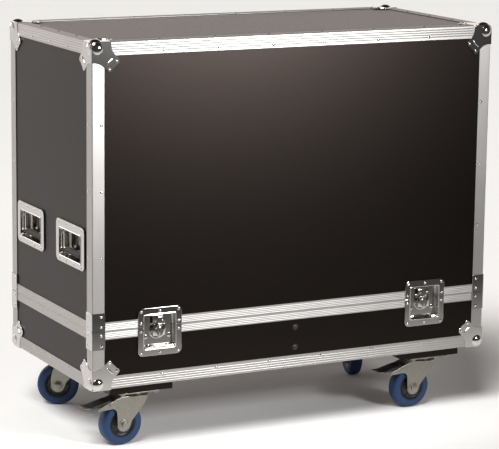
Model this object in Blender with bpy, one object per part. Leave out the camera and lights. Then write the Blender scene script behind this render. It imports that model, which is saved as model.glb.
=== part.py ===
"""A touring case on castors: a shallow base tray, and a tall hood that lifts off it.

Metres, +Z up. The origin is on the floor under the middle of the case. The front is the -Y side,
and -X is the left end seen from the front. Four recessed butterfly latches hold the hood down.
"""

from math import atan2, cos, hypot, pi, radians, sin

import bmesh
import bpy
from mathutils import Matrix, Vector

# Driving dimensions
CASE_W, CASE_D, CASE_H = 1.025, 0.483, 0.779  # over the edging, without castors
CLEAR_BELOW = 0.148  # floor to the underside of the base
SPLIT_UP = 0.1345  # underside of the base to the line where the hood lifts off
EDGE_LEG, EDGE_T = 0.030, 0.0015  # edging angle: leg and wall
PANEL_T = 0.009
RIM_H = 0.020  # each half of the two-part rim at the split
FOAM_T = 0.010
GAP = 0.0003  # left between pieces that touch
TYRE_R, TYRE_W = 0.050, 0.032
TRAIL = 0.036  # swivel axis to wheel axle
CASTOR_IN_X, CASTOR_IN_Y = 0.130, 0.063  # swivel axis, in from the end and from the front
LATCH_IN = 0.165  # latch centre, in from the end
HANDLE_FROM_MIDDLE, HANDLE_UP = 0.1185, 0.312  # handle centre, sideways and above the underside

# Sizes that follow from them
HALF_W, HALF_D = CASE_W / 2, CASE_D / 2
Z_LOW = CLEAR_BELOW
Z_SPLIT = Z_LOW + SPLIT_UP
Z_TOP = Z_LOW + CASE_H
SKIN = EDGE_T + GAP  # outer face of a panel, in from the outer face of the edging
WALL = SKIN + PANEL_T  # inner face of a panel

# Rim channel, measured in from the outer face, and up or down from the split
CHANNEL_OUT, CHANNEL_IN, RIM_IN = EDGE_T, WALL + GAP, 0.0130
BASE_WEB, HOOD_WEB = 0.0040, 0.0095
BRACKET_IN = 0.0182  # back of the bracket behind each latch dish
TONGUE_OUT, TONGUE_IN, TONGUE_UP = 0.0050, 0.0075, 0.0060
GROOVE_SLACK = 0.0005

# Corner balls and corner braces
BALL_R, BALL_IN, BALL_BITE = 0.023, 0.0165, 0.0009
PLATE_START, PLATE_ALONG, PLATE_WAIST, PLATE_END, PLATE_PROUD = 0.0002, 0.049, 0.046, 0.063, 0.0012
BRACE_LEG, BRACE_H, BRACE_T = 0.031, 0.042, 0.0015
RIVET_R, RIVET_HEAD = 0.0032, 0.0012

# Latch, from the split line (z) and the outer face of the case (y, positive into the case)
LATCH_HALF_W, LATCH_UP, LATCH_DOWN = 0.054, 0.0425, 0.0675
POCKET_HALF_W, POCKET_UP, POCKET_DOWN, POCKET_DEEP = 0.040, 0.028, 0.052, 0.015
DISH_T = 0.0012
FLANGE_OUT = DISH_T + GAP
SPINDLE_DOWN, SPINDLE_R, SPINDLE_HEAD_R = 0.011, 0.006, 0.015
NOTCH_ROOM = 0.0015
WING_HINGE_UP = 0.0125  # above the middle of the spindle
HOOK_TRAVEL, HOOK_SLANT = 0.010, radians(19.5)
SHIFT_IN, SHIFT_DOWN = HOOK_TRAVEL * sin(HOOK_SLANT), HOOK_TRAVEL * cos(HOOK_SLANT)

# Recessed handle, from its centre and the outer face of the case
DISH_HALF_W, DISH_HALF_H, DISH_DEEP = 0.081, 0.049, 0.026
CUP_HALF_W, CUP_UP, CUP_DOWN = 0.063, 0.029, 0.035
BAIL_R, BAIL_UP, BAIL_DROP, GRIP_R = 0.0040, 0.021, 0.042, 0.0075
BAIL_IN = 0.0095  # pivot axis, in from the outer face

# Castor
PAD_W, PAD_D, PAD_T = 0.156, 0.080, 0.021
PLATE_W, PLATE_D, PLATE_T = 0.105, 0.078, 0.003
PAD_RELIEF = 0.067  # the pads clear the plates of the ball corners, this far in from the corner
RACE_R, RACE_H = 0.028, 0.007
KING_R = 0.006
FORK_T, FORK_HALF = 0.003, 0.0195
AXLE_R = 0.005
HEADINGS = {"fl": radians(183), "fr": radians(182), "rl": radians(155), "rr": radians(256)}

# Rest of the inside
DIVIDER_T, DIVIDER_H = 0.012, 0.085

COLOURS = {
    "laminate": ((0.035, 0.028, 0.025), 0.55, 0.0),
    "edging": ((0.72, 0.72, 0.71), 0.35, 1.0),
    "steel": ((0.60, 0.59, 0.57), 0.20, 1.0),
    "castor_steel": ((0.55, 0.56, 0.52), 0.35, 1.0),
    "grip": ((0.05, 0.05, 0.05), 0.60, 0.0),
    "pedal": ((0.03, 0.03, 0.03), 0.50, 0.0),
    "tyre": ((0.02, 0.07, 0.22), 0.60, 0.0),
    "foam": ((0.06, 0.06, 0.06), 0.95, 0.0),
    "plywood": ((0.10, 0.08, 0.07), 0.70, 0.0),
}


def clear_scene():
    for obj in list(bpy.data.objects):
        bpy.data.objects.remove(obj)


def material(name):
    found = bpy.data.materials.get(name)
    if found:
        return found
    colour, roughness, metallic = COLOURS[name]
    made = bpy.data.materials.new(name)
    made.use_nodes = True
    shader = made.node_tree.nodes["Principled BSDF"]
    shader.inputs["Base Color"].default_value = (*colour, 1.0)
    shader.inputs["Roughness"].default_value = roughness
    shader.inputs["Metallic"].default_value = metallic
    return made


def finished(name, bm, look):
    """An object in the scene made of the bmesh, which is freed."""
    bmesh.ops.recalc_face_normals(bm, faces=bm.faces)
    mesh = bpy.data.meshes.new(name)
    bm.to_mesh(mesh)
    bm.free()
    mesh.materials.append(material(look))
    obj = bpy.data.objects.new(name, mesh)
    bpy.context.scene.collection.objects.link(obj)
    return obj


def box(low, high, name="tool", look="steel"):
    bm = bmesh.new()
    low, high = Vector(low), Vector(high)
    place = Matrix.Translation((low + high) / 2) @ Matrix.Diagonal((*(high - low), 1.0))
    bmesh.ops.create_cube(bm, size=1.0, matrix=place)
    return finished(name, bm, look)


def rod(start, end, radius, sides=16, name="tool", look="steel", end_radius=None):
    """A round bar, or a cone, from one point to another."""
    start, end = Vector(start), Vector(end)
    along = end - start
    turn = along.to_track_quat("Z", "Y").to_matrix().to_4x4()
    bm = bmesh.new()
    bmesh.ops.create_cone(
        bm, cap_ends=True, segments=sides, radius1=radius,
        radius2=radius if end_radius is None else end_radius,
        depth=along.length, matrix=Matrix.Translation((start + end) / 2) @ turn,
    )
    return finished(name, bm, look)


def ball(centre, radius, name="tool", look="steel"):
    bm = bmesh.new()
    bmesh.ops.create_uvsphere(
        bm, u_segments=16, v_segments=10, radius=radius, matrix=Matrix.Translation(centre)
    )
    return finished(name, bm, look)


def plate(outline, low, high, across="z", name="tool", look="steel"):
    """An outline drawn in a plane, given a thickness from low to high across that plane."""
    place = {
        "z": lambda a, b, c: (a, b, c),
        "y": lambda a, b, c: (a, c, b),
        "x": lambda a, b, c: (c, a, b),
    }[across]
    bm = bmesh.new()
    corners = [bm.verts.new(place(a, b, low)) for a, b in outline]
    face = bm.faces.new(corners)
    raised = bmesh.ops.extrude_face_region(bm, geom=[face])["geom"]
    moved = [v for v in raised if isinstance(v, bmesh.types.BMVert)]
    bmesh.ops.translate(bm, verts=moved, vec=place(0, 0, high - low))
    return finished(name, bm, look)


def rounded_rectangle(low, high, radius, steps=4):
    """Corners of a rectangle from low to high with round corners, anticlockwise."""
    centres = (
        (high[0] - radius, high[1] - radius, 0),
        (low[0] + radius, high[1] - radius, 1),
        (low[0] + radius, low[1] + radius, 2),
        (high[0] - radius, low[1] + radius, 3),
    )
    return [
        (x + radius * cos(pi / 2 * (quarter + k / steps)), y + radius * sin(pi / 2 * (quarter + k / steps)))
        for x, y, quarter in centres
        for k in range(steps + 1)
    ]


def boolean(target, tools, operation):
    """Cuts the tools from the target, or joins them to it, and removes them."""
    for tool in tools:
        step = target.modifiers.new(operation, "BOOLEAN")
        step.operation = operation
        step.object = tool
        bpy.context.view_layer.update()
        graph = bpy.context.evaluated_depsgraph_get()
        made = bpy.data.meshes.new_from_object(target.evaluated_get(graph))
        target.modifiers.clear()
        old = target.data
        target.data = made
        bpy.data.meshes.remove(old)
        bpy.data.objects.remove(tool)
    return target


def cut(target, *tools):
    return boolean(target, tools, "DIFFERENCE")


def join(target, *tools):
    return boolean(target, tools, "UNION")


def smooth_round(obj):
    obj.data.shade_smooth()
    obj.data.set_sharp_from_angle(angle=radians(35))
    return obj


def centred(half_x, half_y, z_low, z_high, **more):
    return box((-half_x, -half_y, z_low), (half_x, half_y, z_high), **more)


def ring(outside, inside, z_low, z_high, **more):
    """A rectangular ring round the case, between two distances in from its outer face."""
    body = centred(HALF_W - outside, HALF_D - outside, z_low, z_high, **more)
    over = 0.01
    return cut(body, centred(HALF_W - inside, HALF_D - inside, z_low - over, z_high + over))


# --- where the repeated hardware stands -------------------------------------------------------

LATCHES = {
    "front_left": ((-HALF_W + LATCH_IN, -HALF_D), 0.0),
    "front_right": ((HALF_W - LATCH_IN, -HALF_D), 0.0),
    "back_left": ((-HALF_W + LATCH_IN, HALF_D), pi),
    "back_right": ((HALF_W - LATCH_IN, HALF_D), pi),
}
HANDLES = {
    "left_front": ((-HALF_W, -HANDLE_FROM_MIDDLE), -pi / 2),
    "left_back": ((-HALF_W, HANDLE_FROM_MIDDLE), -pi / 2),
    "right_front": ((HALF_W, -HANDLE_FROM_MIDDLE), pi / 2),
    "right_back": ((HALF_W, HANDLE_FROM_MIDDLE), pi / 2),
}
CASTORS = {
    "fl": (-HALF_W + CASTOR_IN_X, -HALF_D + CASTOR_IN_Y),
    "fr": (HALF_W - CASTOR_IN_X, -HALF_D + CASTOR_IN_Y),
    "rl": (-HALF_W + CASTOR_IN_X, HALF_D - CASTOR_IN_Y),
    "rr": (HALF_W - CASTOR_IN_X, HALF_D - CASTOR_IN_Y),
}
CORNERS = [(side, end) for side in (-1, 1) for end in (-1, 1)]


def stand_at(obj, spot, z, turn):
    """Moves a piece modelled about its own origin to its spot on the case."""
    obj.matrix_world = Matrix.Translation((*spot, z)) @ Matrix.Rotation(turn, 4, "Z")
    return obj


def placed_tool(tool, spot, z, turn):
    """A cutter modelled about a spot's origin, with its place written into its mesh."""
    tool.data.transform(Matrix.Translation((*spot, z)) @ Matrix.Rotation(turn, 4, "Z"))
    return tool


def latch_notches(deep=0.03):
    half = POCKET_HALF_W + DISH_T + NOTCH_ROOM
    low, high = -POCKET_DOWN - DISH_T - NOTCH_ROOM, POCKET_UP + DISH_T + NOTCH_ROOM
    for spot, turn in LATCHES.values():
        tool = box((-half, -0.02, low), (half, deep, high))
        yield placed_tool(tool, spot, Z_SPLIT, turn)


def notched_rim(rim, z_low, z_high):
    """Lets the latch dishes into a rim, which goes on behind each of them as a bracket."""
    half = POCKET_HALF_W + DISH_T + NOTCH_ROOM + 0.004
    for spot, turn in LATCHES.values():
        block = box((-half, RIM_IN - 0.001, z_low), (half, BRACKET_IN, z_high))
        join(rim, placed_tool(block, spot, 0, turn))
    return cut(rim, *latch_notches(BRACKET_IN - 0.0014))


def handle_windows():
    half = CUP_HALF_W + DISH_T + NOTCH_ROOM
    low, high = -CUP_DOWN - DISH_T - NOTCH_ROOM, CUP_UP + DISH_T + NOTCH_ROOM
    for spot, turn in HANDLES.values():
        tool = box((-half, -0.02, low), (half, 0.03, high))
        yield placed_tool(tool, spot, Z_LOW + HANDLE_UP, turn)


# --- panels, edging and rims ------------------------------------------------------------------


def wall_panels(half, z_low, z_high):
    """Front and back panels over the full width, with the end panels between them."""
    out, across = HALF_W - SKIN, HALF_D - SKIN
    inner = across - PANEL_T
    made = {
        "front": box((-out, -across, z_low), (out, -inner, z_high), f"{half}_front_panel", "laminate"),
        "back": box((-out, inner, z_low), (out, across, z_high), f"{half}_back_panel", "laminate"),
    }
    for name, side in (("left", -1), ("right", 1)):
        near, far = sorted((side * out, side * (out - PANEL_T)))
        low, high = (near, -inner + GAP, z_low), (far, inner - GAP, z_high)
        made[name] = box(low, high, f"{half}_{name}_panel", "laminate")
    return made


def edging_frame(name, z_flat, z_open):
    """Edging angles on the closed face at z_flat and on the four corners, towards z_open."""
    up = 1 if z_open > z_flat else -1
    over = 0.02 * up
    frame = centred(HALF_W, HALF_D, *sorted((z_flat, z_open)), name=name, look="edging")
    hollow = sorted((z_flat + up * EDGE_T, z_open + over))
    beyond = sorted((z_flat + up * EDGE_LEG, z_open + over))
    through = sorted((z_flat - over, z_flat + over))
    return cut(
        frame,
        centred(HALF_W - EDGE_T, HALF_D - EDGE_T, *hollow),
        centred(HALF_W - EDGE_LEG, HALF_D + 0.02, *beyond),
        centred(HALF_W + 0.02, HALF_D - EDGE_LEG, *beyond),
        centred(HALF_W - EDGE_LEG, HALF_D - EDGE_LEG, *through),
    )


def corner_ball(side, end, z_flat, up):
    """Pressed ball corner: a ball that wraps the corner, and a scalloped plate on each face."""
    centre = (side * (HALF_W - BALL_IN), end * (HALF_D - BALL_IN), z_flat + up * BALL_IN)
    cap = ball(centre, BALL_R)
    corner = Vector((side * (HALF_W - BALL_BITE), end * (HALF_D - BALL_BITE), z_flat + up * BALL_BITE))
    inward = Vector((-side, -end, up)) * 0.1
    hidden = box(list(map(min, corner, corner + inward)), list(map(max, corner, corner + inward)))
    cut(cap, hidden)
    return join(cap, *(corner_plate(face, side, end, z_flat, up) for face in range(3)))


def corner_plate(face, side, end, z_flat, up):
    """Plate of a ball corner. Face 0 is on the end, 1 on the front or back, 2 on the flat."""
    out = (Vector((side, 0, 0)), Vector((0, end, 0)), Vector((0, 0, -up)))[face]
    ways = (Vector((-side, 0, 0)), Vector((0, -end, 0)), Vector((0, 0, up)))
    basis = Matrix((ways[(face + 1) % 3], ways[(face + 2) % 3], out)).transposed().to_4x4()
    leg, waist, start = PLATE_ALONG, PLATE_WAIST, PLATE_START * (1 + face)
    half = [(start, start), (leg, start), (leg, 0.016), (waist + 0.002, 0.026), (waist + 0.006, 0.036)]
    half += [(PLATE_END, 0.043), (PLATE_END + 0.001, 0.050), (PLATE_END - 0.006, 0.0565)]
    outline = half + [(b, a) for a, b in reversed(half[1:])]
    piece = plate(outline, -EDGE_T * 0.5, PLATE_PROUD, "z")
    piece.data.transform(Matrix.Translation((side * HALF_W, end * HALF_D, z_flat)) @ basis)
    if basis.determinant() < 0:
        piece.data.flip_normals()
    return piece


def corner_brace(side, end, up):
    """L-shaped brace that wraps the corner post beside the split, riveted to it."""
    near, far = Z_SPLIT + up * 0.0005, Z_SPLIT + up * BRACE_H
    outer, inner = GAP + BRACE_T, GAP
    low_z, high_z = sorted((near, far))

    def corner_block(beyond, leg, z_low, z_high):
        a = Vector((side * (HALF_W + beyond), end * (HALF_D + beyond), z_low))
        b = Vector((side * (HALF_W - leg), end * (HALF_D - leg), z_high))
        return box(list(map(min, a, b)), list(map(max, a, b)))

    brace = cut(
        corner_block(outer, BRACE_LEG, low_z, high_z),
        corner_block(inner, BRACE_LEG + 0.01, low_z - 0.01, high_z + 0.01),
    )
    z, in_from_corner = Z_SPLIT + up * 0.0325, 0.0215
    head, tail = GAP + BRACE_T + RIVET_HEAD, -EDGE_T * 0.6
    x, y = side * (HALF_W - in_from_corner), end * (HALF_D - in_from_corner)
    return join(
        brace,
        rod((x, end * (HALF_D + tail), z), (x, end * (HALF_D + head), z), RIVET_R, 10),
        rod((side * (HALF_W + tail), y, z), (side * (HALF_W + head), y, z), RIVET_R, 10),
    )


def edging(half, z_flat, up):
    z_open = Z_SPLIT - up * (RIM_H + GAP)
    frame = edging_frame(f"{half}_edging", z_flat, z_open)
    away = -1 if half == "base" else 1
    for side, end in CORNERS:
        join(frame, corner_ball(side, end, z_flat, up), corner_brace(side, end, away))
    return frame


def base_rim():
    """Base half of the rim: a channel over the panels' top edges, with a tongue on top."""
    top = Z_SPLIT - GAP / 2
    rim = ring(0, RIM_IN, Z_SPLIT - RIM_H, top, name="base_rim", look="edging")
    cut(rim, ring(CHANNEL_OUT, CHANNEL_IN, Z_SPLIT - RIM_H - 0.01, Z_SPLIT - BASE_WEB))
    join(rim, ring(TONGUE_OUT, TONGUE_IN, Z_SPLIT - BASE_WEB / 2, Z_SPLIT + TONGUE_UP))
    return notched_rim(rim, Z_SPLIT - RIM_H + 0.001, top - 0.001)


def hood_rim():
    """Hood half of the rim: a channel under the panels' edges, with a groove for the tongue."""
    low = Z_SPLIT + GAP / 2
    rim = ring(0, RIM_IN, low, Z_SPLIT + RIM_H, name="hood_rim", look="edging")
    cut(rim, ring(CHANNEL_OUT, CHANNEL_IN, Z_SPLIT + HOOD_WEB, Z_SPLIT + RIM_H + 0.01))
    groove_top = Z_SPLIT + TONGUE_UP + GROOVE_SLACK
    cut(rim, ring(TONGUE_OUT - GROOVE_SLACK, TONGUE_IN + GROOVE_SLACK, Z_SPLIT - 0.01, groove_top))
    return notched_rim(rim, low + 0.001, Z_SPLIT + RIM_H - 0.001)


def castor_pads(panel):
    """Plywood pads glued under the bottom panel, which carry the castors."""
    for x, y in CASTORS.values():
        low, high = Z_LOW - PAD_T, Z_LOW - GAP
        block = box((x - PAD_W / 2, y - PAD_D / 2, low), (x + PAD_W / 2, y + PAD_D / 2, high))
        join(panel, block)
    for side, end in CORNERS:
        near = side * (HALF_W - PAD_RELIEF), end * (HALF_D - PAD_RELIEF)
        far = side * HALF_W, end * HALF_D
        low = min(near[0], far[0]), min(near[1], far[1]), Z_LOW - PLATE_PROUD - GAP
        high = max(near[0], far[0]), max(near[1], far[1]), Z_LOW + EDGE_T * 0.5 + GAP
        cut(panel, box(low, high))
    return panel


def base_shell():
    floor_low = Z_LOW + SKIN
    floor_high = floor_low + PANEL_T
    walls = wall_panels("base", floor_low, Z_SPLIT - BASE_WEB - GAP)
    for name in ("front", "back"):
        cut(walls[name], *latch_notches())
    half_x, half_y = HALF_W - WALL - GAP, HALF_D - WALL - GAP
    bottom = centred(half_x, half_y, floor_low, floor_high, name="base_bottom_panel", look="laminate")
    # The pads meet the panel through the opening that the edging leaves under it.
    inside_edging = EDGE_LEG + GAP
    boss = centred(HALF_W - inside_edging, HALF_D - inside_edging, Z_LOW - GAP * 2, floor_low + 0.002)
    cut(boss, *pad_surrounds())
    join(bottom, boss)
    castor_pads(bottom)
    edging("base", Z_LOW, 1)
    base_rim()
    return floor_high


def pad_surrounds():
    """Everything under the bottom panel that isn't a pad, as two strips crossing the case."""
    x, y = HALF_W - CASTOR_IN_X - PAD_W / 2, HALF_D - CASTOR_IN_Y - PAD_D / 2
    low, high = Z_LOW - 0.01, Z_LOW + SKIN
    far = HALF_W - CASTOR_IN_X + PAD_W / 2
    yield centred(x, HALF_D, low, high)
    yield centred(HALF_W, y, low, high)
    yield box((far, -HALF_D, low), (HALF_W, HALF_D, high))
    yield box((-HALF_W, -HALF_D, low), (-far, HALF_D, high))


def hood_shell():
    ceiling_high = Z_TOP - SKIN
    ceiling_low = ceiling_high - PANEL_T
    walls = wall_panels("hood", Z_SPLIT + HOOD_WEB + GAP, ceiling_high)
    for name in ("front", "back"):
        cut(walls[name], *latch_notches())
    for name in ("left", "right"):
        cut(walls[name], *handle_windows())
    half_x, half_y = HALF_W - WALL - GAP, HALF_D - WALL - GAP
    centred(half_x, half_y, ceiling_low, ceiling_high, name="hood_top_panel", look="laminate")
    edging("hood", Z_TOP, -1)
    hood_rim()
    return ceiling_low


# --- lining -----------------------------------------------------------------------------------


def hardware_room():
    """Room in the lining behind the latch dishes and the handle cups."""
    half = POCKET_HALF_W + DISH_T + NOTCH_ROOM + 0.005
    for spot, turn in LATCHES.values():
        tool = box((-half, 0, -POCKET_DOWN - 0.003), (half, BRACKET_IN + GAP, POCKET_UP + 0.003))
        yield placed_tool(tool, spot, Z_SPLIT, turn)
    half = CUP_HALF_W + DISH_T + NOTCH_ROOM
    for spot, turn in HANDLES.values():
        tool = box((-half, 0, -CUP_DOWN - 0.003), (half, DISH_DEEP + 0.003, CUP_UP + 0.003))
        yield placed_tool(tool, spot, Z_LOW + HANDLE_UP, turn)


def lining(name, z_flat, up, z_open):
    """Foam glued to the panels: a flat sheet and four walls, open towards the split."""
    outside = RIM_IN + GAP
    inside = outside + FOAM_T
    body = centred(HALF_W - outside, HALF_D - outside, *sorted((z_flat, z_open)), name=name, look="foam")
    hollow = sorted((z_flat + up * FOAM_T, z_open + up * 0.01))
    cut(body, centred(HALF_W - inside, HALF_D - inside, *hollow))
    return cut(body, *hardware_room())


def divider(floor):
    """Plywood divider across the middle of the tray, let into the foam and bolted to both walls."""
    half_y, half_x = HALF_D - RIM_IN - GAP * 2, DIVIDER_T / 2
    low = floor + FOAM_T + GAP * 2
    slot = box((-half_x - GAP, -HALF_D, low - GAP), (half_x + GAP, HALF_D, Z_SPLIT))
    cut(bpy.data.objects["base_foam"], slot)
    return box((-half_x, -half_y, low), (half_x, half_y, low + DIVIDER_H), "divider_board", "plywood")


# --- latch ------------------------------------------------------------------------------------


def dish_half(name, low, high, wall_low, wall_high, pocket_low, pocket_high):
    """Half of a pressed latch dish: a flange on the face and a pocket that is open at the split."""
    flange = plate(
        latch_outline(low, high), -FLANGE_OUT, -GAP, "y", name=name, look="steel"
    )
    half = POCKET_HALF_W + DISH_T
    tub = box((-half, -FLANGE_OUT / 2, wall_low), (half, POCKET_DEEP + DISH_T, wall_high))
    join(flange, tub)
    pocket = box((-POCKET_HALF_W, -0.01, pocket_low), (POCKET_HALF_W, POCKET_DEEP, pocket_high))
    return cut(flange, pocket)


def latch_outline(low, high):
    """Flange outline, round at the two corners away from the split."""
    w, r, steps = LATCH_HALF_W, 0.012, 4
    away = 1 if abs(high) > abs(low) else -1
    tip, root = (high, low) if away > 0 else (low, high)
    turn = [pi / 2 * k / steps for k in range(steps + 1)]
    right = [(w - r + r * cos(a), tip - away * r + away * r * sin(a)) for a in turn]
    left = [(-x, z) for x, z in reversed(right)]
    return [(w, root), *right, *left, (-w, root)]


def upper_dish(place):
    name = f"latch_upper_dish_{place}"
    low, high = GAP, POCKET_UP
    dish = dish_half(name, low, LATCH_UP, low, high + DISH_T, low - 0.01, high)
    keeper = box((-0.018, POCKET_DEEP - 0.0053, 0.0020), (0.018, POCKET_DEEP + 0.0006, 0.0074))
    return join(dish, keeper)


def lower_dish(place):
    name = f"latch_lower_dish_{place}"
    low, high = -POCKET_DOWN, -GAP
    dish = dish_half(name, -LATCH_DOWN, high, low - DISH_T, high, low, high + 0.01)
    bearing = rod((0, POCKET_DEEP + 0.0006, -SPINDLE_DOWN), (0, POCKET_DEEP - 0.0014, -SPINDLE_DOWN), 0.0095, 20)
    return join(dish, bearing)


def spindle(place):
    """Turning spindle: cam disc, shaft, a thin round head, and the lugs that carry the wing."""
    z = -SPINDLE_DOWN
    body = rod((0, POCKET_DEEP - 0.0020, z), (0, 0.0115, z), 0.0085, 20, f"latch_spindle_{place}")
    join(
        body,
        rod((0, 0.0125, z), (0, 0.0030, z), SPINDLE_R, 16),
        rod((0, 0.0036, z), (0, 0.0026, z), SPINDLE_HEAD_R, 24),
    )
    z += WING_HINGE_UP
    for side in (-1, 1):
        x = side * 0.0045
        join(body, box((x - 0.0013, 0.0002, z - 0.0025), (x + 0.0013, 0.0030, z + 0.0020)))
    return smooth_round(body)


def wing(place):
    """Oval butterfly wing, folded flat over the spindle. Its neck is hinged between the spindle's lugs."""
    z = -SPINDLE_DOWN
    across, up, low = 0.0108, 0.0080, 0.0155
    turn = [2 * pi * k / 20 for k in range(20)]
    oval = [(across * sin(a), z + (up if cos(a) > 0 else low) * cos(a)) for a in turn]
    body = plate(oval, 0.0001, 0.0021, "y", name=f"latch_wing_{place}")
    z += WING_HINGE_UP
    return join(body, box((-0.0028, 0.0004, z - 0.0080), (0.0028, 0.0020, z + 0.0009)))


def hook(place):
    """Claw plate, raised and clear of the keeper: two legs past the spindle and a claw on top."""
    out, inn = 0.0072 - SHIFT_IN, 0.0092 - SHIFT_IN
    down = SHIFT_DOWN
    top = 0.0100 + down
    body = box((-0.0150, out, -0.0040 + down), (0.0150, inn, top), f"latch_hook_{place}")
    claw_low = 0.0077 + down
    join(body, box((-0.0150, out, claw_low), (0.0150, inn + 0.0036, top)))
    for side in (-1, 1):
        near, far = sorted((side * 0.0088, side * 0.0150))
        join(body, box((near, out, -0.0330 + down), (far, inn, -0.0030 + down)))
    return body


def latches():
    for place, (spot, turn) in LATCHES.items():
        for piece in (upper_dish, lower_dish, spindle, wing, hook):
            stand_at(piece(place), spot, Z_SPLIT, turn)


# --- recessed handle --------------------------------------------------------------------------


def handle_dish(place):
    outline = rounded_rectangle((-DISH_HALF_W, -DISH_HALF_H), (DISH_HALF_W, DISH_HALF_H), 0.012)
    dish = plate(outline[::-1], -FLANGE_OUT, -GAP, "y", name=f"handle_dish_{place}")
    half, t = CUP_HALF_W, DISH_T
    tub = box((-half - t, -FLANGE_OUT / 2, -CUP_DOWN - t), (half + t, DISH_DEEP + t, CUP_UP + t))
    join(dish, tub)
    cut(dish, box((-half, -0.01, -CUP_DOWN), (half, DISH_DEEP, CUP_UP)))
    pin_hole = rod((-0.1, BAIL_IN, BAIL_UP), (0.1, BAIL_IN, BAIL_UP), BAIL_R + GAP, 16)
    return cut(dish, pin_hole)


def handle_bail(place):
    """Bent bar and its grip, hanging folded in the cup. The bar's ends are the hinge pins."""
    z_pin, z_grip = BAIL_UP, BAIL_UP - BAIL_DROP
    arm, reach = 0.0535, CUP_HALF_W + DISH_T * 0.8
    body = rod((-0.044, BAIL_IN, z_grip), (0.044, BAIL_IN, z_grip), GRIP_R, 16, f"handle_bail_{place}", "grip")
    join(body, rod((-arm, BAIL_IN, z_grip), (arm, BAIL_IN, z_grip), BAIL_R, 12))
    for side in (-1, 1):
        x = side * arm
        join(
            body,
            ball((x, BAIL_IN, z_grip), BAIL_R * 1.06),
            rod((x, BAIL_IN, z_grip), (x, BAIL_IN, z_pin), BAIL_R * 0.98, 12),
            ball((x, BAIL_IN, z_pin), BAIL_R * 1.06),
            rod((x, BAIL_IN, z_pin), (side * reach, BAIL_IN, z_pin), BAIL_R, 16),
        )
    return smooth_round(body)


def handles():
    for place, (spot, turn) in HANDLES.items():
        for piece in (handle_dish, handle_bail):
            stand_at(piece(place), spot, Z_LOW + HANDLE_UP, turn)


# --- castors ----------------------------------------------------------------------------------

PLATE_LOW = Z_LOW - PAD_T - GAP - PLATE_T
RACE_LOW = PLATE_LOW - RACE_H
FORK_TOP = RACE_LOW - GAP


def castor_plate(place):
    """Top plate with the fixed ball race and the king pin. Z runs from the floor."""
    body = box(
        (-PLATE_W / 2, -PLATE_D / 2, PLATE_LOW), (PLATE_W / 2, PLATE_D / 2, PLATE_LOW + PLATE_T),
        f"castor_plate_{place}", "castor_steel",
    )
    join(
        body,
        rod((0, 0, RACE_LOW), (0, 0, PLATE_LOW + PLATE_T / 2), RACE_R * 0.9, 28, end_radius=RACE_R),
        rod((0, 0, FORK_TOP - 0.008), (0, 0, RACE_LOW + 0.002), KING_R, 16),
    )
    return smooth_round(body)


def fork_side(braked):
    """Side outline of the fork, along the trail (a) and up (z)."""
    boss_r, z_axle = 0.0165, TYRE_R
    low = [
        (TRAIL + boss_r * cos(a), z_axle + boss_r * sin(a))
        for a in (radians(-160 + 140 * k / 8) for k in range(9))
    ]
    shoulder_z = FORK_TOP
    if braked:
        rear = [(0.0515, 0.084), (0.062, 0.0905), (0.098, 0.0880), (0.103, 0.0925), (0.072, 0.1050)]
    else:
        rear = [(0.0515, 0.078), (0.0440, 0.0950), (0.0360, 0.1060)]
    front = [(-0.024, shoulder_z - 0.0010), (-0.022, 0.105), (-0.006, 0.080)]
    return low + rear + [(0.030, shoulder_z - 0.0010)] + front


def castor_fork(place, braked):
    """Pressed fork: a round top under the race, a plate on each side of the wheel, and the axle."""
    top_t = 0.0035
    body = rod((0, 0, FORK_TOP - top_t), (0, 0, FORK_TOP), 0.0330, 28, f"castor_fork_{place}", "castor_steel")
    for side in (-1, 1):
        near, far = sorted((side * FORK_HALF, side * (FORK_HALF + FORK_T)))
        join(body, plate(fork_side(braked), near, far, "y"))
    bridge_end = 0.060 if braked else 0.030
    if braked:
        join(body, box((0.052, -FORK_HALF - 0.001, 0.1005), (bridge_end, FORK_HALF + 0.001, 0.1035)))
    cut(body, rod((0, 0, FORK_TOP - 0.02), (0, 0, FORK_TOP + 0.01), KING_R + GAP, 16))
    reach = FORK_HALF + FORK_T
    join(
        body,
        rod((TRAIL, -reach - 0.006, TYRE_R), (TRAIL, reach + 0.006, TYRE_R), AXLE_R, 16),
        rod((TRAIL, -reach - 0.0045, TYRE_R), (TRAIL, -reach + 0.001, TYRE_R), 0.0085, 6),
        rod((TRAIL, reach - 0.001, TYRE_R), (TRAIL, reach + 0.0045, TYRE_R), 0.0085, 6),
    )
    return smooth_round(body)


def castor_wheel(place):
    """Wheel with an elastic tyre, turned about its axle."""
    half, shoulder = TYRE_W / 2, 0.006
    profile = [(0.013, half + 0.002), (0.033, half - 0.003), (0.0375, half), (TYRE_R - shoulder, half)]
    profile += [
        (TYRE_R - shoulder + shoulder * sin(a), half - shoulder + shoulder * cos(a))
        for a in (radians(30), radians(60), radians(90))
    ]
    whole = profile + [(r, -y) for r, y in reversed(profile)]
    bore = AXLE_R + GAP
    whole = [(bore, half + 0.002), *whole, (bore, -half - 0.002)]
    bm = bmesh.new()
    line = [bm.verts.new((r, y, 0)) for r, y in whole]
    edges = [bm.edges.new(pair) for pair in zip(line, line[1:] + line[:1])]
    bmesh.ops.spin(
        bm, geom=line + edges, cent=(0, 0, 0), axis=(0, 1, 0), angle=2 * pi, steps=32, use_merge=True
    )
    bmesh.ops.remove_doubles(bm, verts=bm.verts, dist=1e-6)
    body = finished(f"castor_wheel_{place}", bm, "tyre")
    body.data.transform(Matrix.Translation((TRAIL, 0, TYRE_R)))
    return smooth_round(body)


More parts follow.
